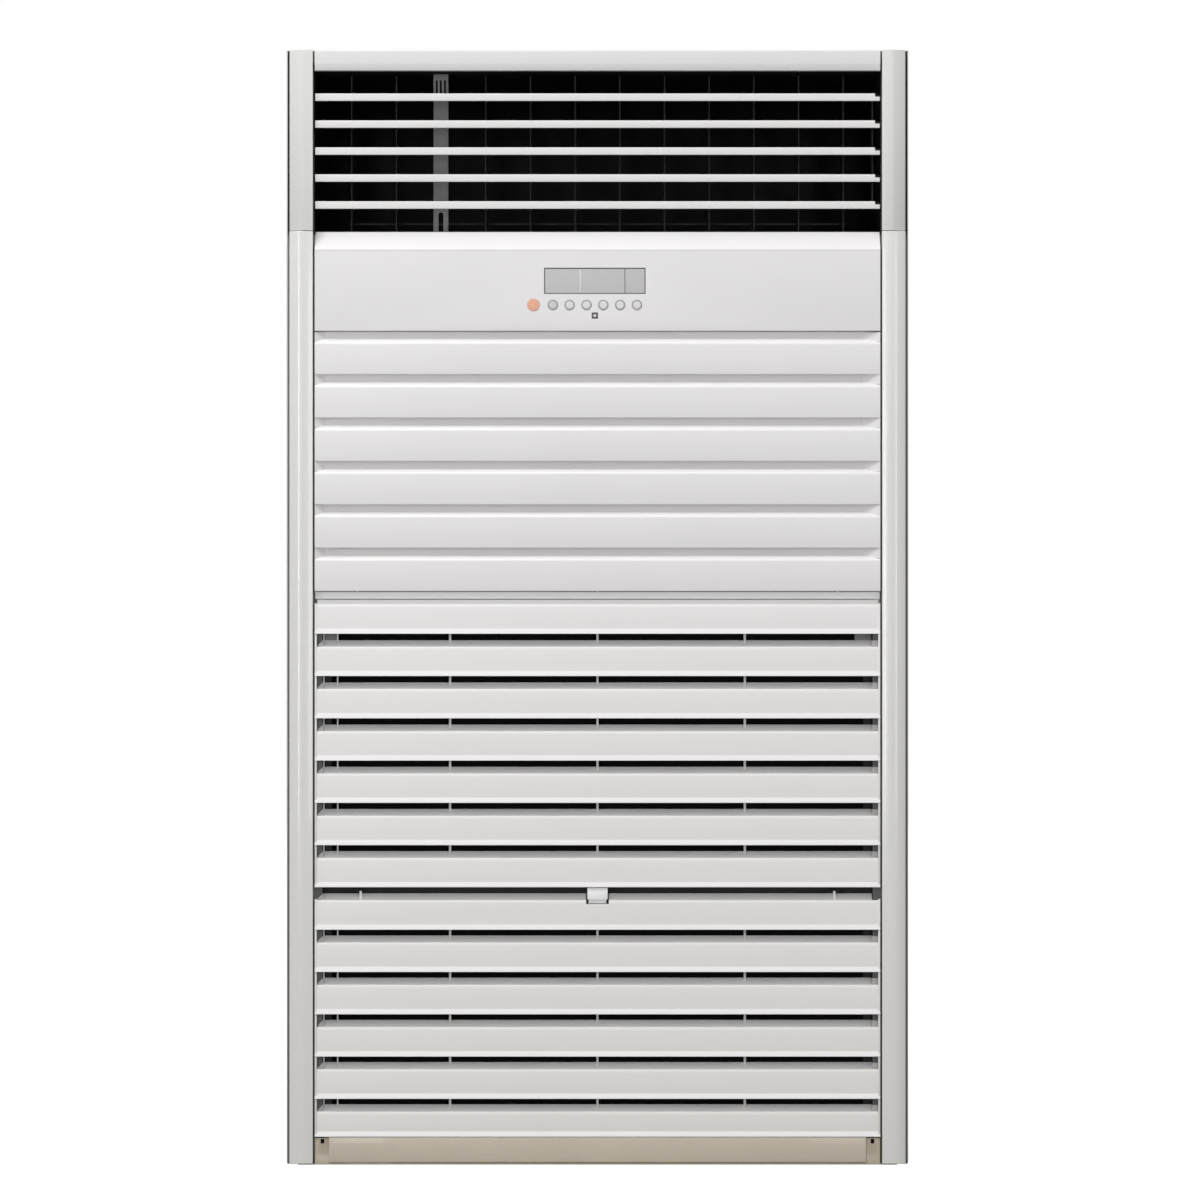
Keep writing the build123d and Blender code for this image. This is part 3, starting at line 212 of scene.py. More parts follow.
def joined(name, parts):
    letGo()
    for part in parts:
        part.select_set(True)
    bpy.context.view_layer.objects.active = parts[0]
    if len(parts) > 1:
        bpy.ops.object.join()
    parts[0].name = name
    parts[0].data.name = name
    return parts[0]


def softenedCopy(node, width=0.0004):
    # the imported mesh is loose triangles, so a copy is merged before its edges are rounded
    letGo()
    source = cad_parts[node]
    piece = bpy.data.objects.new(node + "Soft", source.data.copy())
    bpy.context.collection.objects.link(piece)
    piece.data.materials.clear()
    takeUp(piece)
    bpy.ops.object.mode_set(mode="EDIT")
    bpy.ops.mesh.select_mode(type="VERT")
    bpy.ops.mesh.select_all(action="SELECT")
    bpy.ops.mesh.remove_doubles(threshold=2e-6)
    bpy.ops.mesh.dissolve_limited(angle_limit=math.radians(0.3))
    bpy.ops.object.mode_set(mode="OBJECT")
    if piece.data.has_custom_normals:
        bpy.ops.mesh.customdata_custom_splitnormals_clear()
    soften(piece, width, 2, 40)
    return piece


def wear(piece, *names):
    for name in names:
        piece.data.materials.append(finishes[name])


def putIn(piece, finish, body, slot, *nodes):
    takeUp(piece)
    bpy.ops.object.shade_smooth_by_angle(angle=math.radians(32))
    if not piece.data.materials:
        wear(piece, finish)
    for k, worn in enumerate(piece.data.materials):
        piece.data.materials[k] = worn or finishes.get(finish)
    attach(piece, body)
    if nodes:
        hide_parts(*nodes)
    return piece


# ways of making finishes; each new one is kept here by its name
finishes = {}


def grey(value):
    return (value, value, value)


def newFinish(name, rough, metal=0.0, coat=0.0):
    finish = finishes[name] = bpy.data.materials.new(name)
    finish.use_nodes = True
    shader = finish.node_tree.nodes["Principled BSDF"]
    shader.inputs["Roughness"].default_value = rough
    shader.inputs["Metallic"].default_value = metal
    shader.inputs["Coat Weight"].default_value = coat
    return finish.node_tree, shader


def onPiece(tree, stretch=(1, 1, 1), turn=(0, 0, 0)):
    where = tree.nodes.new("ShaderNodeTexCoord")
    mapping = tree.nodes.new("ShaderNodeMapping")
    mapping.inputs["Scale"].default_value = stretch
    mapping.inputs["Rotation"].default_value = turn
    tree.links.new(where.outputs["Object"], mapping.inputs["Vector"])
    return mapping.outputs["Vector"]


def cloud(tree, vector, scale, detail=4.0, rough=0.55):
    noise = tree.nodes.new("ShaderNodeTexNoise")
    noise.inputs["Scale"].default_value = scale
    noise.inputs["Detail"].default_value = detail
    noise.inputs["Roughness"].default_value = rough
    tree.links.new(vector, noise.inputs["Vector"])
    return noise.outputs["Fac"]


def shades(tree, factor, *stops):
    ramp = tree.nodes.new("ShaderNodeValToRGB")
    elements = ramp.color_ramp.elements
    while len(elements) < len(stops):
        elements.new(0.5)
    for element, (spot, colour) in zip(elements, stops):
        element.position = spot
        element.color = (*colour, 1)
    tree.links.new(factor, ramp.inputs["Fac"])
    return ramp.outputs["Color"]


def between(tree, value, low, high, toLow, toHigh):
    node = tree.nodes.new("ShaderNodeMapRange")
    for key, number in (("From Min", low), ("From Max", high), ("To Min", toLow), ("To Max", toHigh)):
        node.inputs[key].default_value = number
    tree.links.new(value, node.inputs["Value"])
    return node.outputs["Result"]


def mixed(tree, factor, first, second):
    node = tree.nodes.new("ShaderNodeMix")
    node.data_type = "RGBA"
    for spot, value in ((0, factor), (6, first), (7, second)):
        if isinstance(value, bpy.types.NodeSocket):
            tree.links.new(value, node.inputs[spot])
        else:
            node.inputs[spot].default_value = value if spot == 0 else (*value, 1)
    return node.outputs[2]


def relief(tree, shader, height, strength, distance):
    bump = tree.nodes.new("ShaderNodeBump")
    bump.inputs["Strength"].default_value = strength
    bump.inputs["Distance"].default_value = distance
    tree.links.new(height, bump.inputs["Height"])
    before = shader.inputs["Normal"].links
    if before:
        tree.links.new(before[0].from_socket, bump.inputs["Normal"])
    tree.links.new(bump.outputs["Normal"], shader.inputs["Normal"])


def paint(tree, shader, colour, roughness=None):
    tree.links.new(colour, shader.inputs["Base Color"])
    if roughness:
        tree.links.new(roughness, shader.inputs["Roughness"])


def bricks(tree, sizes, colours):
    # a grid of cells seen from the front
    node = tree.nodes.new("ShaderNodeTexBrick")
    for key, value in zip(("Scale", "Mortar Size", "Brick Width", "Row Height"), sizes):
        node.inputs[key].default_value = value
    for key, colour in zip(("Color1", "Color2", "Mortar"), colours):
        node.inputs[key].default_value = (*colour, 1)
    tree.links.new(onPiece(tree, turn=(math.pi / 2, 0, 0)), node.inputs["Vector"])
    return node.outputs["Color"]


def facingUp(tree):
    side = tree.nodes.new("ShaderNodeNewGeometry")
    parts = tree.nodes.new("ShaderNodeSeparateXYZ")
    tree.links.new(side.outputs["Normal"], parts.inputs["Vector"])
    return parts.outputs["Z"]


def heightOnPiece(tree):
    where = tree.nodes.new("ShaderNodeTexCoord")
    parts = tree.nodes.new("ShaderNodeSeparateXYZ")
    tree.links.new(where.outputs["Object"], parts.inputs["Vector"])
    return parts.outputs["Z"]


def mouldedPlastic(name, light, dull, rough=0.36, grain=0.25, dust=0.25, lowTone=None, coat=0.0):
    # sprayed or moulded plastic: cloudy tone, fine grain, slow waves in the gloss, dust where it faces up
    tree, shader = newFinish(name, rough, coat=coat)
    shader.inputs["Coat Roughness"].default_value = 0.14
    place = onPiece(tree)
    colour = shades(tree, cloud(tree, place, 2.2, 5), (0.3, dull), (0.72, light))
    # a tone blended in towards the floor: darker on the front plastic, as painted shade for light falling off
    # downward; lighter on the trims
    if lowTone:
        low = between(tree, heightOnPiece(tree), 0.0, 1.25, 1.0, 0.0)
        colour = mixed(tree, low, colour, lowTone)
    specks = between(tree, cloud(tree, place, 60, 6, 0.7), 0.62, 0.8, 0.0, 0.06)
    colour = mixed(tree, specks, colour, [c * 0.72 for c in dull])
    settled = between(tree, facingUp(tree), 0.75, 1.0, 0.0, dust)
    colour = mixed(tree, settled, colour, (0.56, 0.54, 0.5))
    gloss = between(tree, cloud(tree, place, 9, 5), 0.3, 0.75, rough - 0.05, rough + 0.08)
    paint(tree, shader, colour, gloss)
    relief(tree, shader, cloud(tree, place, 4.5, 2), 0.12, 0.0016)
    relief(tree, shader, cloud(tree, place, 1300, 2), grain, 0.00012)


def paintedSteel(name, light, dull, metalShows=0.0):
    # stoved enamel on sheet steel: orange peel, a slow wave of the sheet, faint scuffs near the floor
    tree, shader = newFinish(name, 0.34, coat=0.15)
    place = onPiece(tree)
    colour = shades(tree, cloud(tree, place, 1.6, 4), (0.3, dull), (0.7, light))
    streaks = between(tree, cloud(tree, onPiece(tree, (30, 30, 3)), 5, 6, 0.7), 0.6, 0.78, 0.0, 0.14)
    colour = mixed(tree, streaks, colour, [c * 0.75 for c in dull])
    low = between(tree, heightOnPiece(tree), 0.02, 0.22, 1.0, 0.0)
    scuffs = between(tree, cloud(tree, onPiece(tree, (14, 14, 90)), 3, 6, 0.65), 0.56, 0.72, 0.0, 0.35)
    scuffed = mixed(tree, scuffs, colour, (0.34, 0.33, 0.31))
    colour = mixed(tree, low, colour, scuffed)
    if metalShows:
        bare = between(tree, cloud(tree, place, 130, 8, 0.75), 0.66, 0.7, 0.0, metalShows)
        colour = mixed(tree, bare, colour, (0.22, 0.21, 0.2))
    settled = between(tree, facingUp(tree), 0.8, 1.0, 0.0, 0.18)
    colour = mixed(tree, settled, colour, (0.5, 0.48, 0.45))
    paint(tree, shader, colour, between(tree, cloud(tree, place, 7, 6), 0.3, 0.75, 0.28, 0.46))
    relief(tree, shader, cloud(tree, place, 1.8, 2), 0.1, 0.005)
    relief(tree, shader, cloud(tree, place, 420, 2), 0.3, 0.00012)


def galvanisedSteel(name):
    # zinc spangle: flat crystals, each with its own tone and gloss
    tree, shader = newFinish(name, 0.42, metal=0.85)
    place = onPiece(tree)
    crystals = tree.nodes.new("ShaderNodeTexVoronoi")
    crystals.inputs["Scale"].default_value = 75
    tree.links.new(place, crystals.inputs["Vector"])
    tone = tree.nodes.new("ShaderNodeSeparateColor")
    tree.links.new(crystals.outputs["Color"], tone.inputs["Color"])
    colour = shades(tree, tone.outputs["Red"], (0.1, (0.4, 0.42, 0.44)), (0.9, (0.62, 0.64, 0.65)))
    stain = between(tree, cloud(tree, place, 12, 7, 0.7), 0.58, 0.75, 0.0, 0.4)
    colour = mixed(tree, stain, colour, (0.33, 0.33, 0.32))
    paint(tree, shader, colour, between(tree, tone.outputs["Green"], 0.0, 1.0, 0.34, 0.55))
    relief(tree, shader, tone.outputs["Blue"], 0.12, 0.0002)


def drawnMetal(name, light, dull, along, rough=0.3, stain=(0.2, 0.16, 0.12), stained=0.25):
    # brushed or drawn metal: lines along one axis, and stains
    tree, shader = newFinish(name, rough, metal=1.0)
    stretch = {"X": (3, 240, 240), "Y": (240, 3, 240), "Z": (240, 240, 3)}[along]
    lines = cloud(tree, onPiece(tree, stretch), 4, 4)
    colour = shades(tree, lines, (0.3, dull), (0.7, light))
    spots = between(tree, cloud(tree, onPiece(tree), 16, 7, 0.7), 0.55, 0.75, 0.0, stained)
    gloss = between(tree, lines, 0.3, 0.7, rough - 0.08, rough + 0.14)
    paint(tree, shader, mixed(tree, spots, colour, stain), gloss)
    relief(tree, shader, lines, 0.2, 0.0001)


def castMetal(name, light, dull):
    tree, shader = newFinish(name, 0.55, metal=0.75)
    place = onPiece(tree)
    colour = shades(tree, cloud(tree, place, 35, 7, 0.65), (0.3, dull), (0.7, light))
    paint(tree, shader, colour, between(tree, cloud(tree, place, 80, 4), 0.3, 0.7, 0.45, 0.65))
    relief(tree, shader, cloud(tree, place, 420, 4), 0.5, 0.0003)


def filterNetPaintedShade(name):
    # woven net: threads every 3.2 mm both ways, dark, and pushed to near black as painted shade in the grille
    # gaps
    tree, shader = newFinish(name, 0.75)
    threads = []
    for turn in ("X", "Z"):
        wave = tree.nodes.new("ShaderNodeTexWave")
        wave.bands_direction = turn
        wave.inputs["Scale"].default_value = 98
        tree.links.new(onPiece(tree), wave.inputs["Vector"])
        threads.append(wave.outputs["Fac"])
    weave = tree.nodes.new("ShaderNodeMath")
    weave.operation = "MAXIMUM"
    for spot, thread in enumerate(threads):
        tree.links.new(thread, weave.inputs[spot])
    colour = shades(tree, weave.outputs["Value"], (0.35, grey(0.002)), (0.9, (0.009, 0.009, 0.01)))
    shader.inputs["Specular IOR Level"].default_value = 0.1
    fluff = between(tree, cloud(tree, onPiece(tree), 11, 6, 0.7), 0.62, 0.8, 0.0, 0.03)
    paint(tree, shader, mixed(tree, fluff, colour, (0.2, 0.19, 0.18)))
    relief(tree, shader, weave.outputs["Value"], 0.6, 0.0006)


def printedBoard(name):
    # green lacquer over copper tracks, with tinned pads
    tree, shader = newFinish(name, 0.35, coat=0.4)
    tracks = bricks(tree, (60, 0.04, 0.7, 0.22),
                    ((0.012, 0.12, 0.05), (0.016, 0.16, 0.07), (0.06, 0.3, 0.12)))
    pads = tree.nodes.new("ShaderNodeTexVoronoi")
    pads.inputs["Scale"].default_value = 150
    tree.links.new(onPiece(tree), pads.inputs["Vector"])
    dots = between(tree, pads.outputs["Distance"], 0.2, 0.24, 1.0, 0.0)
    paint(tree, shader, mixed(tree, dots, tracks, (0.55, 0.55, 0.5)))
    relief(tree, shader, dots, 0.4, 0.0002)


def flangeShadeStrip(name):
    # foam-textured strip on the flange front, coloured as painted shade: grey beside the grilles, near black
    # beside the outlet
    tree, shader = newFinish(name, 0.85)
    pores = cloud(tree, onPiece(tree), 900, 3, 0.6)
    colour = shades(tree, pores, (0.35, grey(0.1)), (0.65, grey(0.2)))
    high = between(tree, heightOnPiece(tree), 1.56, 1.575, 0.0, 1.0)
    paint(tree, shader, mixed(tree, high, colour, grey(0.004)))
    relief(tree, shader, pores, 0.5, 0.0003)


def displayPane(name):
    # liquid crystal behind clear plastic: grey field with faint unlit cells
    tree, shader = newFinish(name, 0.5)
    cells = bricks(tree, (90, 0.03, 0.62, 0.9),
                   ((0.5, 0.505, 0.5), (0.51, 0.515, 0.51), (0.53, 0.535, 0.53)))
    haze = between(tree, cloud(tree, onPiece(tree), 12, 3), 0.3, 0.7, 0.0, 0.25)
    paint(tree, shader, mixed(tree, haze, cells, (0.55, 0.545, 0.54)))
    relief(tree, shader, cloud(tree, onPiece(tree), 30, 2), 0.05, 0.0003)


# plastics: light tone, dull tone and what differs from the usual
plastics = {
    # the front plastic is darker towards the floor: painted shade
    "frontPlastic": ((0.80, 0.785, 0.79), (0.775, 0.76, 0.765), {"lowTone": (0.72, 0.71, 0.68)}),
    # header rail: a darker copy of the white front plastic, painted shade
    "railPlasticPaintedShade": ((0.72, 0.71, 0.715), (0.70, 0.69, 0.695), {}),
    # a lighter copy of the white plastic for the strip under the blind panel, the bridge and its apron:
    # painted light
    "fasciaPlasticPaintedLight": ((0.93, 0.915, 0.92), (0.91, 0.895, 0.90), {}),
    # slat ledges: a lighter copy of the white plastic, painted light against the shade under the slat above
    "ledgePlasticPaintedLight": ((0.86, 0.85, 0.85), (0.84, 0.83, 0.83), {"dust": 0.08}),
    # ledge end plates: a darker copy of the white plastic, painted shade
    "ledgeEndPaintedShade": ((0.50, 0.49, 0.49), (0.47, 0.46, 0.46), {"dust": 0.08}),
    # hem: a darker copy of the white plastic, painted shade
    "hemPlasticPaintedShade": ((0.645, 0.635, 0.635), (0.625, 0.615, 0.615), {}),
    # slat lips: a lighter copy of the white plastic, painted light
    "lipPlasticPaintedLight": ((0.85, 0.835, 0.835), (0.83, 0.815, 0.815), {"dust": 0.08}),
    # the trims are lighter towards the floor
    "trimPlastic": ((0.705, 0.70, 0.69), (0.685, 0.68, 0.67),
                    {"rough": 0.2, "grain": 0.06, "lowTone": (0.77, 0.76, 0.735), "coat": 0.5}),
    "louverPlastic": ((0.76, 0.75, 0.745), (0.74, 0.73, 0.725), {"rough": 0.3}),
    # louver blade: near black, painted shade for the louvers' shaded undersides
    "louverBladePaintedShade": (grey(0.006), grey(0.004), {"rough": 0.6, "dust": 0.03}),
    "ductBlack": (grey(0.004), grey(0.003), {"rough": 0.75, "dust": 0.0}),
    "vaneBlack": (grey(0.02), grey(0.012), {"rough": 0.42, "dust": 0.05}),
    "braceGrey": (grey(0.40), grey(0.34), {"rough": 0.45, "dust": 0.05}),
    "linkBlack": (grey(0.03), grey(0.02), {"rough": 0.5, "dust": 0.05}),
    "wheelGrey": ((0.07, 0.07, 0.075), (0.05, 0.05, 0.055), {"rough": 0.5}),
    # catches: light plastic coloured grey, painted shade
    "catchGreyPaintedShade": (grey(0.26), grey(0.22), {"rough": 0.45, "dust": 0.05}),
    # frame rails and hinge eyes: near black; on the rails this is painted shade
    "frameBlackPaintedShade": (grey(0.012), grey(0.008), {"rough": 0.6, "dust": 0.02}),
    "panPlastic": ((0.62, 0.62, 0.6), (0.56, 0.56, 0.54), {"rough": 0.5}),
    "powerSalmon": ((0.84, 0.45, 0.31), (0.80, 0.40, 0.28), {"rough": 0.3, "dust": 0.0}),
    "buttonCap": ((0.74, 0.735, 0.74), (0.71, 0.705, 0.71), {"rough": 0.3, "dust": 0.0}),
    "modeCap": ((0.63, 0.62, 0.65), (0.60, 0.59, 0.62), {"rough": 0.3, "dust": 0.0}),
    "buttonRing": ((0.40, 0.40, 0.41), (0.36, 0.36, 0.37), {"rough": 0.35, "dust": 0.0}),
    "bezelDark": (grey(0.11), grey(0.09), {"rough": 0.4, "dust": 0.0}),
}
for name, (light, dull, rest) in plastics.items():
    mouldedPlastic(name, light, dull, **rest)
flangeShadeStrip("flangeTapePaintedShade")
paintedSteel("sidePaint", (0.60, 0.595, 0.57), (0.56, 0.555, 0.535))
# base pan: a darker copy of the kick panel beige, painted shade; the bare metal spots are wear
paintedSteel("basePaintPaintedShade", (0.42, 0.37, 0.28), (0.37, 0.32, 0.24), metalShows=0.6)
paintedSteel("kickPaint", (0.57, 0.505, 0.41), (0.53, 0.468, 0.38))
galvanisedSteel("galvanised")
drawnMetal("screwZinc", (0.7, 0.7, 0.68), (0.5, 0.5, 0.49), "Z")
drawnMetal("copper", (0.82, 0.44, 0.28), (0.6, 0.3, 0.19), "Z", stain=(0.18, 0.1, 0.07), stained=0.5)
drawnMetal("finAluminium", (0.8, 0.82, 0.83), (0.62, 0.64, 0.66), "Z", rough=0.32)
drawnMetal("shaftSteel", grey(0.66), grey(0.48), "X", rough=0.25)
castMetal("castMotor", (0.5, 0.51, 0.52), (0.36, 0.37, 0.38))
filterNetPaintedShade("filterNetPaintedShade")
printedBoard("printedBoard")
displayPane("displayPane")
print("finishes made:", len(finishes))

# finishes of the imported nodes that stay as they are
nodeFinishes = {
    "printedBoard": ["display_board", "control_board"],
    "finAluminium": ["evaporator_coil"],
    "copper": ["refrigerant_pipes"],
    "galvanised": ["control_box", "blower_deck", "blower_scrolls", "shaft_bearings", "swing_motor"],
    "ductBlack": ["outlet_duct"],
    "castMotor": ["blower_motor"],
    "shaftSteel": ["fan_shaft"],
    "wheelGrey": ["fan_wheels"],
    "linkBlack": ["louver_link", "vane_link"],
    "filterNetPaintedShade": ["filter_upper", "filter_lower"],
}
for finish, names in nodeFinishes.items():
    for name in names:
        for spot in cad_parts[name].material_slots:
            spot.material = finishes[finish]

# sizes that the front pieces share, in metres
front = {"face": -0.2415, "flange": -0.228, "flangeBack": -0.2268, "halfWidth": 0.477, "wall": 0.0022}
faceY, halfFront = front["face"], front["halfWidth"]
ends = (-halfFront, halfFront)

# header rail over the outlet
header = {"low": 1.8452, "crease": 1.8563, "top": 1.88, "lean": 0.002, "lowRadius": 0.001,
          "creaseRadius": 0.0006, "cornerRadius": 0.0025}
rail = foldedStrip("headerRail", ends, [
    (front["flangeBack"], header["low"]), (faceY + header["lean"], header["low"]),
    (faceY, header["crease"]), (faceY, header["top"]), (front["flange"], header["top"])])
roundEdges(rail, foldAt(faceY + header["lean"], header["low"]), header["lowRadius"])
roundEdges(rail, foldAt(faceY, header["crease"]), header["creaseRadius"], 2)
roundEdges(rail, foldAt(faceY, header["top"]), header["cornerRadius"], 4)
thicken(rail, front["wall"])
putIn(rail, "railPlasticPaintedShade", "cabinet", "front_plastic", "outlet_header")
print("header rail")

# control panel: face and sloping sill, with its window, receiver and button holes
panel = {"low": 1.406, "bevel": 1.5443, "sillY": -0.212, "sillTop": 1.5747, "lowRadius": 0.0008,
         "bevelRadius": 0.001, "grooveLow": 0.004, "grooveHigh": 0.0018, "grooveDepth": 0.0006,
         "windowX": -0.0045, "windowZ": 1.4904, "windowWidth": 0.171, "windowHeight": 0.044,
         "buttonZ": 1.4499, "buttonHole": 0.0088, "powerHole": 0.01055, "receiverZ": 1.4318,
         "receiverSize": 0.0106, "play": 0.0001, "cutReach": 0.006}
buttons = {"names": ["power", "mode", "warmer", "cooler", "fan", "swing", "timer"],
           "places": [-0.1078] + [-0.0752 + 0.02834 * k for k in range(6)]}
face = foldedStrip("controlFace", ends, [
    (front["flange"], panel["low"]), (faceY, panel["low"]),
    (faceY, panel["bevel"] - panel["grooveLow"]),
    (faceY + panel["grooveDepth"], panel["bevel"] - panel["grooveLow"] + 0.0002),
    (faceY, panel["bevel"] - panel["grooveHigh"]), (faceY, panel["bevel"]),
    (panel["sillY"], panel["sillTop"])])
roundEdges(face, foldAt(faceY, panel["low"]), panel["lowRadius"])
roundEdges(face, foldAt(faceY, panel["bevel"]), panel["bevelRadius"], 4)
thicken(face, front["wall"])
deepIn, deepOut = faceY + panel["cutReach"], faceY - panel["cutReach"]
for z, width, height in ((panel["windowZ"], panel["windowWidth"], panel["windowHeight"]),
                         (panel["receiverZ"], panel["receiverSize"], panel["receiverSize"])):
    halfHigh = height / 2 + panel["play"]
    cutAway(face, bar("hole", panel["windowX"], width / 2 + panel["play"], (deepOut, deepIn),
                      (z - halfHigh, z + halfHigh)))
for word, x in zip(buttons["names"], buttons["places"]):
    radius = panel["powerHole"] if word == "power" else panel["buttonHole"]
    cutAway(face, rod("buttonHole", "Y", (x, deepOut, panel["buttonZ"]), radius, deepIn - deepOut, 48))
putIn(face, "frontPlastic", "cabinet", "front_plastic", "control_panel")
print("control panel")

# display window: bezel, pane and two dividing bars
display = {"bezel": 0.0016, "bezelSink": 0.0012, "sink": 0.0006, "depth": 0.0025, "rim": 0.0015,
           "rimSink": 0.0002, "darkBarX": 0.0463, "darkBarHalf": 0.00065, "lightBarX": -0.029,
           "lightBarHalf": 0.0009, "edge": 0.0002}
paneFront = faceY + display["sink"]
left, right = panel["windowX"] - panel["windowWidth"] / 2, panel["windowX"] + panel["windowWidth"] / 2
low, high = panel["windowZ"] - panel["windowHeight"] / 2, panel["windowZ"] + panel["windowHeight"] / 2
bezel = block("windowBezel", (left, paneFront, low), (right, paneFront + display["depth"], high))
sinkFront(bezel, display["bezel"], display["bezelSink"])
darkBar = bar("darkBar", display["darkBarX"], display["darkBarHalf"],
              (paneFront + 0.0002, paneFront + 0.002), (low + 0.001, high - 0.001))
bezel = joined("windowBezel", [bezel, darkBar])
soften(bezel, display["edge"])
putIn(bezel, "bezelDark", "cabinet", "display_glass", "display_window")
inset = display["bezel"] - panel["play"]
pane = block("windowPane", (left + inset, paneFront + 0.0006, low + inset),
             (right - inset, paneFront + 0.0018, high - inset))
chooseFaces(pane, facesFront)
bpy.ops.mesh.inset(thickness=display["rim"], depth=0)
bpy.ops.transform.translate(value=(0, -display["rimSink"], 0))
letGo()
lightBar = bar("lightBar", display["lightBarX"], display["lightBarHalf"],
               (paneFront + 0.0003, paneFront + 0.0012), (low + 0.003, high - 0.003))
soften(lightBar, display["edge"])
putIn(pane, "displayPane", "cabinet", "display_glass", "display_window")
putIn(lightBar, "buttonCap", "cabinet", "display_glass")
print("display window")

# receiver in the panel: dark bezel round a light lens
receiver = {"frame": 0.0026, "sink": 0.0005, "front": faceY + 0.0001, "back": faceY + 0.0007,
            "lensRadius": 0.0024, "lensDepth": 0.0005, "lensEdge": 0.0003, "edge": 0.00012}
half = panel["receiverSize"] / 2
hood = bar("receiverHood", panel["windowX"], half, (receiver["front"], receiver["back"]),
           (panel["receiverZ"] - half, panel["receiverZ"] + half))
sinkFront(hood, receiver["frame"], receiver["sink"])
soften(hood, receiver["edge"])
putIn(hood, "bezelDark", "cabinet", "circuit_board")
lensFront = receiver["front"] + 0.0001
lens = rod("receiverLens", "Y", (panel["windowX"], lensFront, panel["receiverZ"]), receiver["lensRadius"],
           receiver["lensDepth"])
roundEdges(lens, bothEnds(lambda p: p.y < lensFront + hair), receiver["lensEdge"])
putIn(lens, "buttonCap", "cabinet", "circuit_board")

# push buttons: a cap in a ring, a rim behind the panel and a stem
button = {"proud": 0.001, "radius": 0.0085, "powerRadius": 0.01025, "ring": 0.0022,
          "steps": [(0.0003, 0.0004), (0.0004, -0.00032), (0.002, -0.0002)], "edge": 0.0006,
          "rimEdge": 0.0002, "rim": 0.0015, "rimDepth": 0.0012, "stem": 0.003, "rimFront": -0.2387,
          "stemEnd": -0.236}


def pushButton(word, x):
    radius = button["powerRadius"] if word == "power" else button["radius"]
    tip = faceY - button["proud"]
    cap = rod("cap", "Y", (x, tip, panel["buttonZ"]), radius, button["rimFront"] - tip, 64)
    chooseFaces(cap, facesFront)
    bpy.ops.mesh.inset(thickness=button["ring"], depth=0)
    for width, sink in button["steps"]:
        bpy.ops.mesh.inset(thickness=width, depth=0)
        bpy.ops.transform.translate(value=(0, sink, 0))
    letGo()
    roundEdges(cap, bothEnds(lambda p: p.y < tip + 1e-5 and
                             math.hypot(p.x - x, p.z - panel["buttonZ"]) > radius - hair), button["edge"], 4)
    wear(cap, {"power": "powerSalmon", "mode": "modeCap"}.get(word, "buttonCap"),
         "powerSalmon" if word == "power" else "buttonRing")
    for patch in cap.data.polygons:
        corners = [cap.data.vertices[i].co for i in patch.vertices]
        far = max(math.hypot(p.x - x, p.z - panel["buttonZ"]) for p in corners)
        patch.material_index = 1 if far > radius - button["ring"] + hair else 0
    behind = (x, button["rimFront"], panel["buttonZ"])
    rim = rod("rim", "Y", behind, radius + button["rim"], button["rimDepth"], 48)
    stem = rod("stem", "Y", behind, button["stem"], button["stemEnd"] - button["rimFront"], 24)
    soften(rim, button["rimEdge"])
    whole = joined(f"button{word.capitalize()}", [cap, rim, stem])
    putIn(whole, None, f"button_{word}", "power_button" if word == "power" else "button_plastic",
          f"button_{word}")


for word, x in zip(buttons["names"], buttons["places"]):
    pushButton(word, x)
print("push buttons")

# blind panel: six closed slats with sloping ledges between them
blind = {"low": 0.9664, "pitch": 0.0732, "face": 0.0545, "depth": 0.011, "rise": 0.007, "rows": 6,
         "seam": 0.0004, "topRadius": 0.0042, "bottomRadius": 0.0016, "innerRadius": 0.0015,
         "wall": 0.002, "leftWedge": 0.017, "rightWedge": 0.030}
recess = faceY + blind["depth"]
path = []
for row in range(blind["rows"]):
    base = blind["low"] + row * blind["pitch"]
    top = base + blind["face"]
    path += [(faceY, base), (faceY, top), (recess, top + blind["rise"]), (recess, base + blind["pitch"])]
path[0] = (faceY, blind["low"] + blind["seam"])
path[-1] = (recess, path[-1][1] - blind["seam"])
slats = foldedStrip("blindSlats", ends, [(front["flange"], path[0][1])] + path)
for row in range(blind["rows"]):
    base = blind["low"] + row * blind["pitch"] + (blind["seam"] if row == 0 else 0)
    top = blind["low"] + row * blind["pitch"] + blind["face"]
    roundEdges(slats, foldAt(faceY, top), blind["topRadius"], 5)
    roundEdges(slats, foldAt(faceY, base), blind["bottomRadius"], 4)
    roundEdges(slats, foldAt(recess, top + blind["rise"]), blind["innerRadius"])
thicken(slats, blind["wall"])
wedges = []
for side, width in ((-1, blind["leftWedge"]), (1, blind["rightWedge"])):
    for row in range(blind["rows"]):
        base = blind["low"] + row * blind["pitch"]
        end = base + blind["pitch"] - (0.002 if row == blind["rows"] - 1 else -0.001)
        wedge = sideBlock("wedge", side, (halfFront, halfFront - width),
                          (faceY + 0.0006, recess + 0.001), (base + blind["face"] + 0.002, end))
        inner = side * (halfFront - width)
        shiftEdges(wedge, bothEnds(lambda p: abs(p.x - inner) < hair and p.y < faceY + 0.001),
                   (0, blind["depth"] - 0.0003, 0))
        wedges.append(wedge)
blindPiece = joined("blindSlats", [slats] + wedges)
putIn(blindPiece, "frontPlastic", "cabinet", "front_plastic", "blind_panel")
print("blind panel")

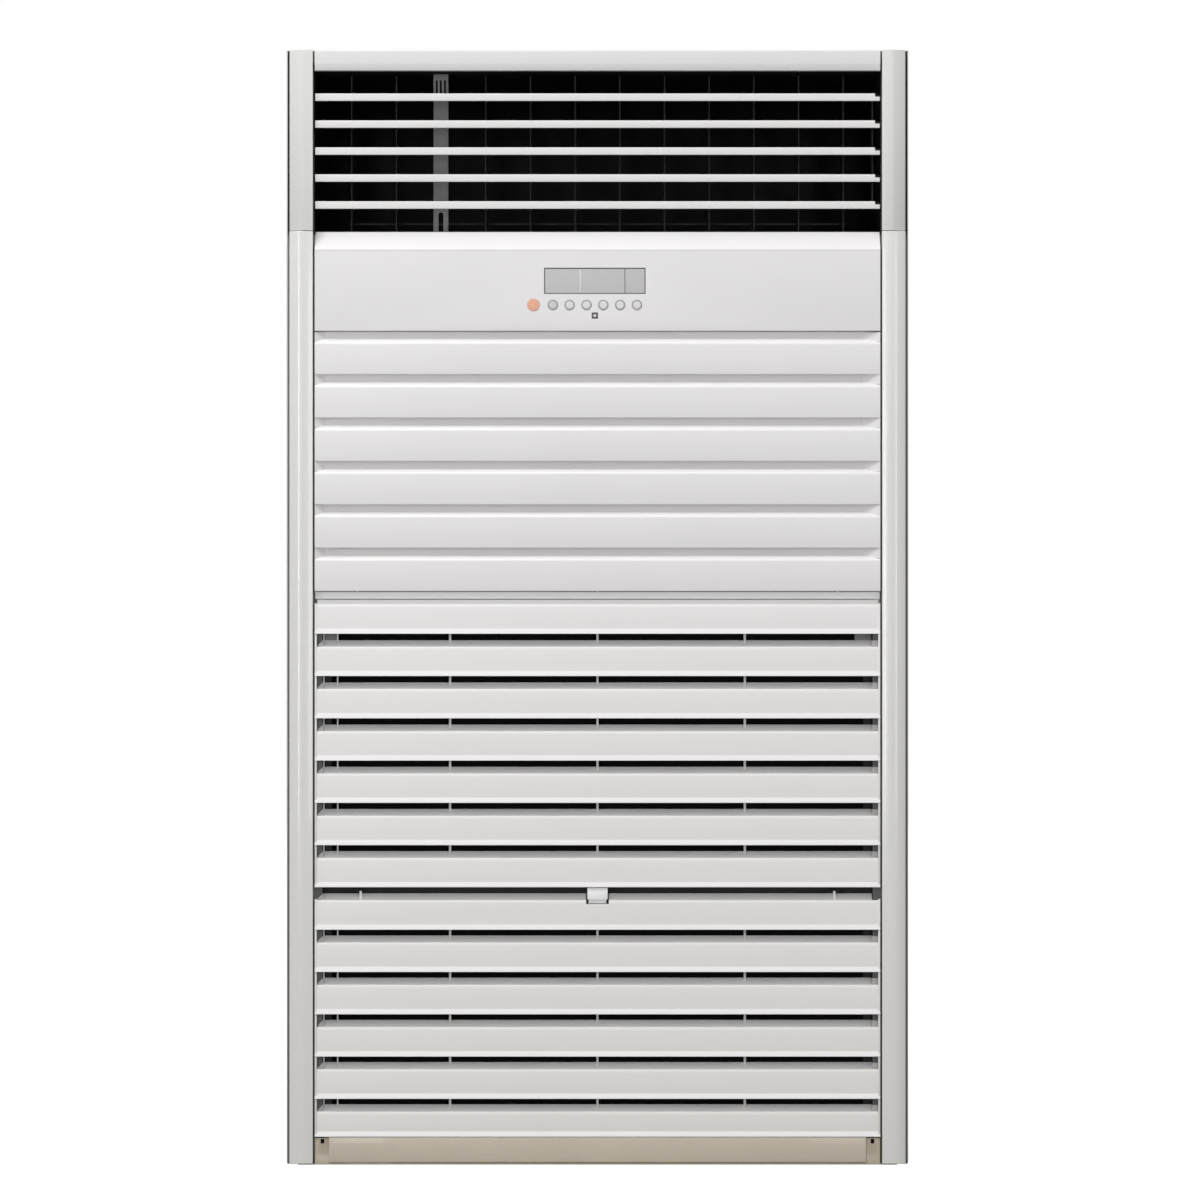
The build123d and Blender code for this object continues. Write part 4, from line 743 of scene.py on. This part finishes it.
# intake grilles: one slat with a lip, a face and a ledge, copied down, on upright ribs
grille = {"low": 0.0465, "split": 0.4673, "pitch": 0.0713, "face": 0.0495, "ledge": 0.025, "flat": 0.0105,
          "rise": 0.0108, "lipDepth": 0.009, "lipHeight": 0.0092, "lipProud": 0.0032, "bevel": 0.0062,
          "bevelDepth": 0.0017, "topRadius": 0.0007, "lipRadius": 0.0008, "stepRadius": 0.0016,
          "seam": 0.0004, "thinRib": 0.0025, "thickRib": 0.004, "thinRibs": [-0.4625, -0.439],
          "thickRibs": [-0.249, 0, 0.249], "ribFront": -0.2215, "ribBack": -0.217, "ribDrop": 0.0025,
          "endCut": 0.4635, "cutFront": -0.2283, "cutBack": -0.2, "slant": 0.009, "plateFront": -0.2294,
          "plateBack": -0.2287, "corner": 0.0122, "endStrip": 0.0034, "stripFront": -0.2398,
          "stripBack": -0.2285, "hingeY": -0.222, "hingeDrop": 0.0054, "hingeX": 0.4, "earWidth": 0.004,
          "earRadius": 0.005, "pinRadius": 0.00305, "notchHalf": 0.019, "notchDrop": 0.0062,
          "hemHalf": 0.473, "hemFront": -0.234, "hemBack": -0.2332, "hemHeight": 0.0082, "edge": 0.0004}


def intakeSlat(low, top):
    step = faceY + grille["lipProud"]
    edge = step + grille["bevelDepth"]
    slat = foldedStrip("slat", ends, [
        (faceY + grille["lipDepth"], low), (faceY, low), (step, low + grille["lipHeight"]),
        (step, top - grille["bevel"]), (edge, top), (step + grille["flat"], top),
        (faceY + grille["ledge"], top + grille["rise"])])
    thicken(slat, front["wall"])
    roundEdges(slat, foldAt(edge, top), grille["topRadius"], 2)
    roundEdges(slat, foldAt(faceY, low), grille["lipRadius"])
    roundEdges(slat, foldAt(step, low + grille["lipHeight"]), grille["stepRadius"])
    for side in (-1, 1):
        # the ledge ends in a slant, so it clears the flange behind it
        outer = halfFront + 0.002
        cutter = sideBlock("endCut", side, (grille["endCut"], outer), (grille["cutFront"], grille["cutBack"]),
                           (low - 0.01, top + 0.03))
        shiftEdges(cutter, bothEnds(lambda p: abs(p.x - side * outer) < hair and
                                    p.y < grille["cutFront"] + hair), (0, -grille["slant"], 0))
        cutAway(slat, cutter)
    # ledges and lips wear lighter copies of the white plastic: painted light
    wear(slat, "frontPlastic", "ledgePlasticPaintedLight", "lipPlasticPaintedLight")
    for patch in slat.data.polygons:
        isLedge = patch.normal.z > 0.7 and patch.center.y > edge + 0.001
        isLip = patch.normal.y < -0.5 and patch.center.z < low + grille["lipHeight"] and patch.center.y < step
        patch.material_index = 1 if isLedge else 2 if isLip else 0
    parts = [slat]
    for side in (-1, 1):
        # a thin end of the ledge stands in front of the flange
        outer = halfFront - 0.001
        plate = sideBlock("ledgeEnd", side, (grille["endCut"] - 0.0005, outer),
                          (grille["plateFront"], grille["plateBack"]), (top - lap, top + grille["rise"]))
        if side < 0:
            # the left one is cut to a corner
            shiftEdges(plate, bothEnds(lambda p: p.x < hair - outer and p.z > top + grille["rise"] - hair),
                       (grille["corner"], 0, 0))
        # the end plates are coloured darker: painted shade
        wear(plate, "ledgeEndPaintedShade")
        parts.append(plate)
    return joined("slat", parts)


def intakeGrille(name, node, rows, cellLow, cellTop, lower):
    # the lower grille has a shorter last slat and a notch for the bridge
    firstTop = cellTop - grille["pitch"] + grille["face"]
    low = cellLow + grille["seam"]
    slat = intakeSlat(firstTop - grille["face"], firstTop)
    parts = [slat]
    for row in range(1, rows):
        if row == rows - 1 and lower:
            parts.append(intakeSlat(low, firstTop - row * grille["pitch"]))
        else:
            parts.append(copyOf(slat, "slat", (0, 0, -row * grille["pitch"])))
    if not lower:
        # the lowest slat ends a seam above the panel below
        chooseFaces(parts[-1], lambda centre, normal: centre.z < cellLow + 0.0011)
        bpy.ops.transform.translate(value=(0, 0, grille["seam"]))
        letGo()
    for places, width in ((grille["thinRibs"], grille["thinRib"]), (grille["thickRibs"], grille["thickRib"])):
        for x in places:
            # under the notch the rib ends lower, so it swings clear of the bridge
            drop = grille["ribDrop"] + (grille["notchDrop"] + 0.001 if lower and x == 0 else 0)
            rib = bar("rib", x, width / 2, (grille["ribFront"], grille["ribBack"]),
                      (low + 0.0005, firstTop - drop))
            soften(rib, grille["edge"])
            parts.append(rib)
    for side in (-1, 1):
        strip = sideBlock("endStrip", side, (halfFront, halfFront - grille["endStrip"]),
                          (grille["stripFront"], grille["stripBack"]), (low + 0.0005, firstTop + 0.002))
        soften(strip, grille["edge"])
        parts.append(strip)
    if not lower:
        # a thin hem stands on the first slat, under the cover strip
        hem = bar("hem", 0, grille["hemHalf"], (grille["hemFront"], grille["hemBack"]),
                  (firstTop - 0.0006, firstTop + grille["hemHeight"]))
        # the hem is coloured darker: painted shade
        wear(hem, "hemPlasticPaintedShade")
        parts.append(hem)
    else:
        cutAway(slat, bar("notch", 0, grille["notchHalf"], (faceY + 0.0025, grille["cutBack"]),
                          (firstTop - grille["notchDrop"], cellTop + 0.01)))
    hingeZ = cellTop - grille["hingeDrop"]
    ears = []
    for side in (-1, 1):
        x = side * grille["hingeX"] - grille["earWidth"] / 2
        eye = rod("ear", "X", (x, grille["hingeY"], hingeZ), grille["earRadius"], grille["earWidth"])
        stalk = block("stalk", (x, grille["hingeY"] - grille["earRadius"] + 0.0001, firstTop + 0.0015),
                      (x + grille["earWidth"], grille["hingeY"] + 0.0035, hingeZ))
        for part in (stalk, eye):
            cutAway(part, rod("pinHole", "X", (x - lap, grille["hingeY"], hingeZ), grille["pinRadius"],
                              grille["earWidth"] + 2 * lap))
            # the stalk wears the lightened ledge plastic, painted light; the eye wears the near-black frame
            # finish
            wear(part, "frameBlackPaintedShade" if part == eye else "ledgePlasticPaintedLight")
            ears.append(part)
    whole = joined(name, parts + ears)
    putIn(whole, "frontPlastic", node, "grille_plastic", node)


intakeGrille("upperGrille", "grille_upper", 7, grille["split"], blind["low"], False)
intakeGrille("lowerGrille", "grille_lower", 6, grille["low"], grille["split"], True)
print("intake grilles")

# louvers: a white nose strip on a tapered blade coloured near black as painted shade, pins at the ends and a
# slot with the pin for the link
louver = {"heights": [1.80095, 1.75545, 1.70995, 1.66445, 1.61895], "pivotY": -0.205, "chord": 0.056,
          "nose": 0.0126, "tail": 0.003, "halfLength": 0.4765, "pinRadius": 0.004, "pinReach": 0.4815,
          "linkX": 0.46625, "linkY": -0.181, "slot": 0.007, "slotStart": -0.189, "linkPin": 0.002,
          "notchWidth": 0.008, "notchHeight": 0.0054, "strip": 0.0035, "step": 0.0004,
          "noseRadius": 0.0008, "tailRadius": 0.0011, "pinEdge": 0.0004}


def louverBlade():
    z = louver["heights"][0]
    frontY, rearY = louver["pivotY"] - louver["chord"] / 2, louver["pivotY"] + louver["chord"] / 2
    stripBack = frontY + louver["strip"]
    under, over = z - louver["nose"] / 2, z + louver["nose"] / 2
    strip = bar("noseStrip", 0, louver["halfLength"], (frontY, stripBack), (under, over))
    roundEdges(strip, longFront(frontY), louver["noseRadius"])
    blade = bar("blade", 0, louver["halfLength"], (stripBack - 0.0005, rearY),
                (under + louver["step"], over - louver["step"]))
    chooseFaces(blade, lambda centre, normal: normal.y > 0.9)
    bpy.ops.transform.resize(value=(1, 1, louver["tail"] / louver["nose"]), center_override=(0, rearY, z))
    letGo()
    roundEdges(blade, lambda a, b: min(a.y, b.y) > rearY - hair and abs(a.x - b.x) > 0.5,
               louver["tailRadius"])
    half = louver["slot"] / 2
    cutAway(blade, bar("slot", louver["linkX"], half, (louver["slotStart"], rearY + 2 * lap),
                       (z - 0.02, z + 0.02)))
    for part, finish in ((strip, "louverPlastic"), (blade, "louverBladePaintedShade")):
        cutAway(part, block("notch", (louver["halfLength"] - louver["notchWidth"], frontY - lap,
                                      over - louver["notchHeight"]),
                            (louver["halfLength"] + lap, frontY + louver["nose"], z + 0.02)))
        wear(part, finish)
    parts = [blade, strip, rod("linkPin", "X", (louver["linkX"] - half - lap, louver["linkY"], z),
                               louver["linkPin"], louver["slot"] + 2 * lap)]
    for side in (-1, 1):
        start = min(side * (louver["halfLength"] - lap), side * louver["pinReach"])
        pin = rod("pin", "X", (start, louver["pivotY"], z), louver["pinRadius"],
                  louver["pinReach"] - louver["halfLength"] + lap)
        soften(pin, louver["pinEdge"])
        parts.append(pin)
    return joined("louver1", parts)


firstLouver = louverBlade()
for k, z in enumerate(louver["heights"][1:], 2):
    copy = copyOf(firstLouver, f"louver{k}", (0, 0, z - louver["heights"][0]))
    putIn(copy, "louverBladePaintedShade", f"louver_{k}", "louver_plastic", f"louver_{k}")
putIn(firstLouver, "louverBladePaintedShade", "louver_1", "louver_plastic", "louver_1")
print("louvers")

# vanes: upright blades with a window and a pin for the link
vane = {"places": [-0.418, -0.342, -0.19, -0.114, -0.038, 0.038, 0.114, 0.19, 0.266, 0.342, 0.418],
        "pivotY": -0.14, "frontReach": 0.02, "rearReach": 0.05, "thickness": 0.003, "low": 1.5767,
        "high": 1.8432, "pinRadius": 0.003, "pinLow": 1.5712, "drivenPinLow": 1.5592, "pinHigh": 1.8487,
        "driven": 6, "windowY": -0.105, "windowHalf": 0.008, "windowZ": 1.595, "windowHeight": 0.011,
        "linkPin": 0.0015, "edge": 0.0011, "pinEdge": 0.0003}


def vaneBlade(x, pinLow):
    half = vane["thickness"] / 2
    blade = bar("vane", x, half, (vane["pivotY"] - vane["frontReach"], vane["pivotY"] + vane["rearReach"]),
                (vane["low"], vane["high"]))
    roundEdges(blade, lambda a, b: abs(a.z - b.z) > 0.2, vane["edge"])
    windowFront, windowBack = vane["windowY"] - vane["windowHalf"], vane["windowY"] + vane["windowHalf"]
    windowLow = vane["windowZ"] - vane["windowHeight"] / 2
    cutAway(blade, bar("window", x, 0.01, (windowFront, windowBack),
                       (windowLow, vane["windowZ"] + vane["windowHeight"] / 2)))
    parts = [blade, rod("linkPin", "Z", (x, vane["windowY"], windowLow - lap / 2),
                        vane["linkPin"], vane["windowHeight"] + lap, 16)]
    for low, high in ((pinLow, vane["low"] + lap), (vane["high"] - lap, vane["pinHigh"])):
        pin = rod("pin", "Z", (x, vane["pivotY"], low), vane["pinRadius"], high - low, 24)
        soften(pin, vane["pinEdge"])
        parts.append(pin)
    return joined("vane", parts)


plainVane = vaneBlade(vane["places"][0], vane["pinLow"])
for k, x in enumerate(vane["places"], 1):
    if k == vane["driven"]:
        blade = vaneBlade(x, vane["drivenPinLow"])
    else:
        blade = copyOf(plainVane, f"vane{k}", (x - vane["places"][0], 0, 0))
    blade.name = f"vane{k}"
    putIn(blade, "vaneBlack", f"vane_{k}", "vane_plastic", f"vane_{k}")
bpy.data.objects.remove(plainVane, do_unlink=True)
print("vanes")

# pillar trims: hollow mouldings, each drawn lying down and stood up; the lower ones have a rounded ridge
trim = {"inner": 0.480, "outer": 0.5195, "ridge": -0.2475, "wall": 0.0022, "foot": 0.002, "seamLow": 1.5743,
        "seamHigh": 1.5751, "top": 1.88, "edge": 0.0008}
# each end view: a flat inner face and its slope, then arcs, each by radius, the slope at its end and steps
trimShapes = {"Upper": {"flat": 0.0172, "slope": 4.5, "arcs": [(0.004, -17, 4), (0.09, -60, 8)]},
              "Lower": {"flat": 0.0172, "slope": 8,
                        "arcs": [(0.008, 2, 2), (0.055, -5, 4), (0.008, -13, 2), (0.055, -60, 8)]}}


def ridgeLine(shape):
    # distances from the inner edge outward, and depths that are then moved to the ridge
    width = trim["outer"] - trim["inner"]
    slope = math.radians(shape["slope"])
    points = [(0.0, 0.0), (shape["flat"], -math.tan(slope) * shape["flat"])]
    for radius, last, steps in shape["arcs"]:
        x, y = points[-1]
        end = math.radians(last)
        reach = x + radius * (math.sin(slope) - math.sin(end))
        if reach > width:
            end = math.asin(math.sin(slope) - (width - x) / radius)
        for k in range(1, steps + 1):
            a = slope + (end - slope) * k / steps
            points.append((x + radius * (math.sin(slope) - math.sin(a)),
                           y - radius * (math.cos(a) - math.cos(slope))))
        slope = end
    nearest = min(y for d, y in points)
    return [(d, y - nearest + trim["ridge"]) for d, y in points]


def pillarTrim(name, node, side, shape, low, high):
    line = ridgeLine(trimShapes[shape])
    if side > 0:
        path = [(front["flange"], -trim["outer"])] + [(y, -trim["inner"] - d) for d, y in line[::-1]]
        path.append((front["flange"], -trim["inner"]))
    else:
        path = [(front["flange"], trim["inner"])] + [(y, trim["inner"] + d) for d, y in line]
        path.append((front["flange"], trim["outer"]))
    piece = foldedStrip(name, (low, high), path)
    for end in (low, high):
        chooseEdges(piece, bothEnds(lambda p: abs(p.x - end) < 1e-5))
        bpy.ops.mesh.edge_face_add()
        letGo()
    takeUp(piece)
    piece.rotation_euler = (0, -math.pi / 2, 0)
    fixPlace(piece)
    soften(piece, trim["edge"], 3, 40)
    thicken(piece, trim["wall"])
    putIn(piece, "trimPlastic", "cabinet", "front_plastic", node)


for side, word in ((-1, "left"), (1, "right")):
    pillarTrim(f"{word}UpperTrim", f"trim_upper_{word}", side, "Upper", trim["seamHigh"], trim["top"])
    pillarTrim(f"{word}LowerTrim", f"trim_lower_{word}", side, "Lower", trim["foot"], trim["seamLow"])
print("pillar trims")

# kick panel: shallow pressed cover
kick = {"half": 0.453, "low": 0.004, "top": 0.046, "back": -0.2385, "wall": 0.0011, "edge": 0.0012}
cover = bar("kickCover", 0, kick["half"], (faceY, kick["back"]), (kick["low"], kick["top"]))
chooseFaces(cover, lambda centre, normal: normal.y > 0.9)
bpy.ops.mesh.delete(type="FACE")
letGo()
roundEdges(cover, bothEnds(lambda p: p.y < faceY + hair), kick["edge"])
thicken(cover, kick["wall"])
putIn(cover, "kickPaint", "cabinet", "kick_paint", "kick_panel")
print("kick panel")

# sheet metal and drain pan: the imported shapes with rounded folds
sheets = {node: ("cabinet_paint", "sidePaint")
          for node in ("side_panel_left", "side_panel_right", "rear_panel", "top_panel")}
sheets.update({"base_pan": ("base_steel", "basePaintPaintedShade"), "outlet_brace": ("brace_steel", "braceGrey"),
               "drain_pan": ("pan_plastic", "panPlastic")})
baseSlot = {"x": 0.4638, "halfWidth": 0.0029, "low": 0.0355, "high": 0.0431, "front": -0.25, "back": -0.23}
for node, (slot, finish) in sheets.items():
    sheet = softenedCopy(node)
    if node == "base_pan":
        for x in (-baseSlot["x"], baseSlot["x"]):
            cutAway(sheet, bar("slot", x, baseSlot["halfWidth"], (baseSlot["front"], baseSlot["back"]),
                               (baseSlot["low"], baseSlot["high"])))
    wear(sheet, finish)
    if node.startswith("side_panel"):
        # foam-textured strip on the front of the flange, coloured darker as painted shade
        wear(sheet, "flangeTapePaintedShade")
        for patch in sheet.data.polygons:
            patch.material_index = 1 if patch.normal.y < -0.9 and patch.center.y < front["flangeBack"] else 0
    putIn(sheet, None, "cabinet", slot, node)
print("sheet metal")

# intake frame: rails near black and catches grey, both painted shade; the bridge and the strip under the
# blind panel in a lighter white, painted light
lightParts = {"front": -0.2122, "catchLow": 0.865, "catchHigh": 0.905, "catchIn": 0.43, "bridgeHalf": 0.03,
              "stripLow": 0.957}
intake = softenedCopy("intake_frame", 0.0003)
wear(intake, "frameBlackPaintedShade", "fasciaPlasticPaintedLight", "catchGreyPaintedShade")
for patch in intake.data.polygons:
    spot, aside = patch.center, abs(patch.center.x)
    isCatch = lightParts["catchLow"] < spot.z < lightParts["catchHigh"] and aside > lightParts["catchIn"]
    isWhite = aside < lightParts["bridgeHalf"] or spot.z > lightParts["stripLow"]
    patch.material_index = 0 if spot.y > lightParts["front"] else 2 if isCatch else 1 if isWhite else 0
fascia = {"half": 0.4765, "front": -0.2335, "back": -0.2297, "low": 0.9541, "high": 0.9658,
          "slope": 0.013, "setBack": 0.0032, "apronHalf": 0.015, "apronY": (-0.234, -0.2328),
          "apronZ": (0.4402, 0.4475), "edge": 0.0004}
cover = bar("fasciaCover", 0, fascia["half"], (fascia["front"], fascia["back"]),
            (fascia["low"], fascia["high"]))
for side in (-1, 1):
    # both ends lean back
    corner = side * (fascia["half"] - fascia["slope"])
    takeUp(cover)
    bpy.ops.object.mode_set(mode="EDIT")
    bpy.ops.mesh.select_all(action="SELECT")
    bpy.ops.mesh.bisect(plane_co=(corner, 0, 0), plane_no=(1, 0, 0))
    letGo()
    shiftEdges(cover, bothEnds(lambda p: p.x * side > fascia["half"] - hair and p.y < fascia["front"] + hair),
               (0, fascia["setBack"], 0))
roundEdges(cover, longFront(fascia["front"]), fascia["edge"], 2)
# the cover strip and the apron wear the lightened white plastic: painted light
wear(cover, "fasciaPlasticPaintedLight")
# it hangs from the bridge, in the lower grille's notch
apron = bar("apron", 0, fascia["apronHalf"], fascia["apronY"], fascia["apronZ"])
wear(apron, "fasciaPlasticPaintedLight")
intake = joined("intake_frameSoft", [intake, cover, apron])
putIn(intake, None, "cabinet", "grille_plastic", "intake_frame")
print("intake frame")

# screws of the rear panel: pan heads with a cross recess
screw = {"columns": [-0.45, -0.15, 0.15, 0.45], "rows": [0.03, 1.5567, 1.8684], "headRadius": 0.004,
         "head": 0.0012, "back": 0.2475, "length": 0.01, "shank": 0.0019, "cross": 0.0009,
         "crossLength": 0.0042, "crossDepth": 0.0008, "edge": 0.0005}


def screwHead(x, z):
    back = screw["back"]
    inner = back - screw["head"]
    head = rod("head", "Y", (x, inner, z), screw["headRadius"], screw["head"], 32)
    roundEdges(head, bothEnds(lambda p: p.y > back - 1e-5), screw["edge"])
    for width, height in ((screw["cross"], screw["crossLength"]), (screw["crossLength"], screw["cross"])):
        cutAway(head, bar("recess", x, width / 2, (back - screw["crossDepth"], back + lap),
                          (z - height / 2, z + height / 2)))
    shank = rod("shank", "Y", (x, inner - screw["length"], z), screw["shank"], screw["length"], 16)
    return joined("screw", [head, shank])


firstScrew = screwHead(screw["columns"][0], screw["rows"][0])
group = [firstScrew]
for z in screw["rows"]:
    for x in screw["columns"]:
        step = (x - screw["columns"][0], 0, z - screw["rows"][0])
        if any(step):
            group.append(copyOf(firstScrew, "screw", step))
putIn(joined("rearScrews", group), "screwZinc", "cabinet", "screw_steel", "screws")
print("screws")

# floor, light and camera
studio = {"floorTone": 0.34, "floorGlow": 0.95, "skyAbove": 0.68, "skyBelow": 0.22,
          "key": ((-1.2, -3.2, 6.4), (0, 0, 0.9), (2.6, 1.6), 196),
          "side": ((-2.6, -3.0, 4.2), (0, 0, 0.9), (1.4, 1.4), 19),
          "stripLeft": ((-1.28, -4.2, 1.5), (-0.4, 0, 1.0), (0.28, 2.8), 22.5),
          "stripRight": ((1.28, -4.2, 1.5), (0.4, 0, 1.0), (0.28, 2.8), 13.5)}
letGo()
bpy.ops.mesh.primitive_plane_add(size=30, location=(0, 0, -0.0005))
floor = bpy.context.object
floor.name = "paleFloor"
tree, shader = newFinish("paleFloor", 0.8)
shader.inputs["Base Color"].default_value = (*grey(studio["floorTone"]), 1)
ray = tree.nodes.new("ShaderNodeLightPath")
glow = between(tree, ray.outputs["Is Camera Ray"], 0.0, 1.0, 0.0, studio["floorGlow"])
shader.inputs["Emission Color"].default_value = (1, 1, 1, 1)
tree.links.new(glow, shader.inputs["Emission Strength"])
wear(floor, "paleFloor")

world = bpy.data.worlds.new("whiteRoom")
bpy.context.scene.world = world
world.use_nodes = True
sky = world.node_tree
backdrop = sky.nodes["Background"]
backdrop.inputs["Color"].default_value = (1, 1, 1, 1)
direction = sky.nodes.new("ShaderNodeTexCoord")
split = sky.nodes.new("ShaderNodeSeparateXYZ")
sky.links.new(direction.outputs["Generated"], split.inputs["Vector"])
sky.links.new(between(sky, split.outputs["Z"], -0.25, 0.7, studio["skyBelow"], studio["skyAbove"]),
              backdrop.inputs["Strength"])
seen = sky.nodes.new("ShaderNodeBackground")
seen.inputs["Color"].default_value = (1, 1, 1, 1)
ray = sky.nodes.new("ShaderNodeLightPath")
chooser = sky.nodes.new("ShaderNodeMixShader")
sky.links.new(ray.outputs["Is Camera Ray"], chooser.inputs["Fac"])
sky.links.new(backdrop.outputs["Background"], chooser.inputs[1])
sky.links.new(seen.outputs["Background"], chooser.inputs[2])
sky.links.new(chooser.outputs["Shader"], sky.nodes["World Output"].inputs["Surface"])

for name in ("key", "side", "stripLeft", "stripRight"):
    where, aim, size, power = studio[name]
    lamp = bpy.data.lights.new(name, "AREA")
    lamp.shape = "RECTANGLE"
    lamp.size, lamp.size_y = size
    lamp.energy = power
    holder = bpy.data.objects.new(name, lamp)
    bpy.context.collection.objects.link(holder)
    holder.location = where
    toward = [b - a for a, b in zip(where, aim)]
    holder.rotation_euler = (math.atan2(math.hypot(toward[0], toward[1]), -toward[2]), 0,
                             math.atan2(toward[1], toward[0]) - math.pi / 2)

view = {"place": (0.00426, -10, 0.9378), "tilt": 0.084, "lens": 173.6}
camera = bpy.data.cameras.new("camera")
camera.lens = view["lens"]
camera.sensor_width = 36
holder = bpy.data.objects.new("camera", camera)
bpy.context.collection.objects.link(holder)
holder.location = view["place"]
holder.rotation_euler = (math.radians(90 + view["tilt"]), 0, 0)
bpy.context.scene.camera = holder
print("floor, light and camera")
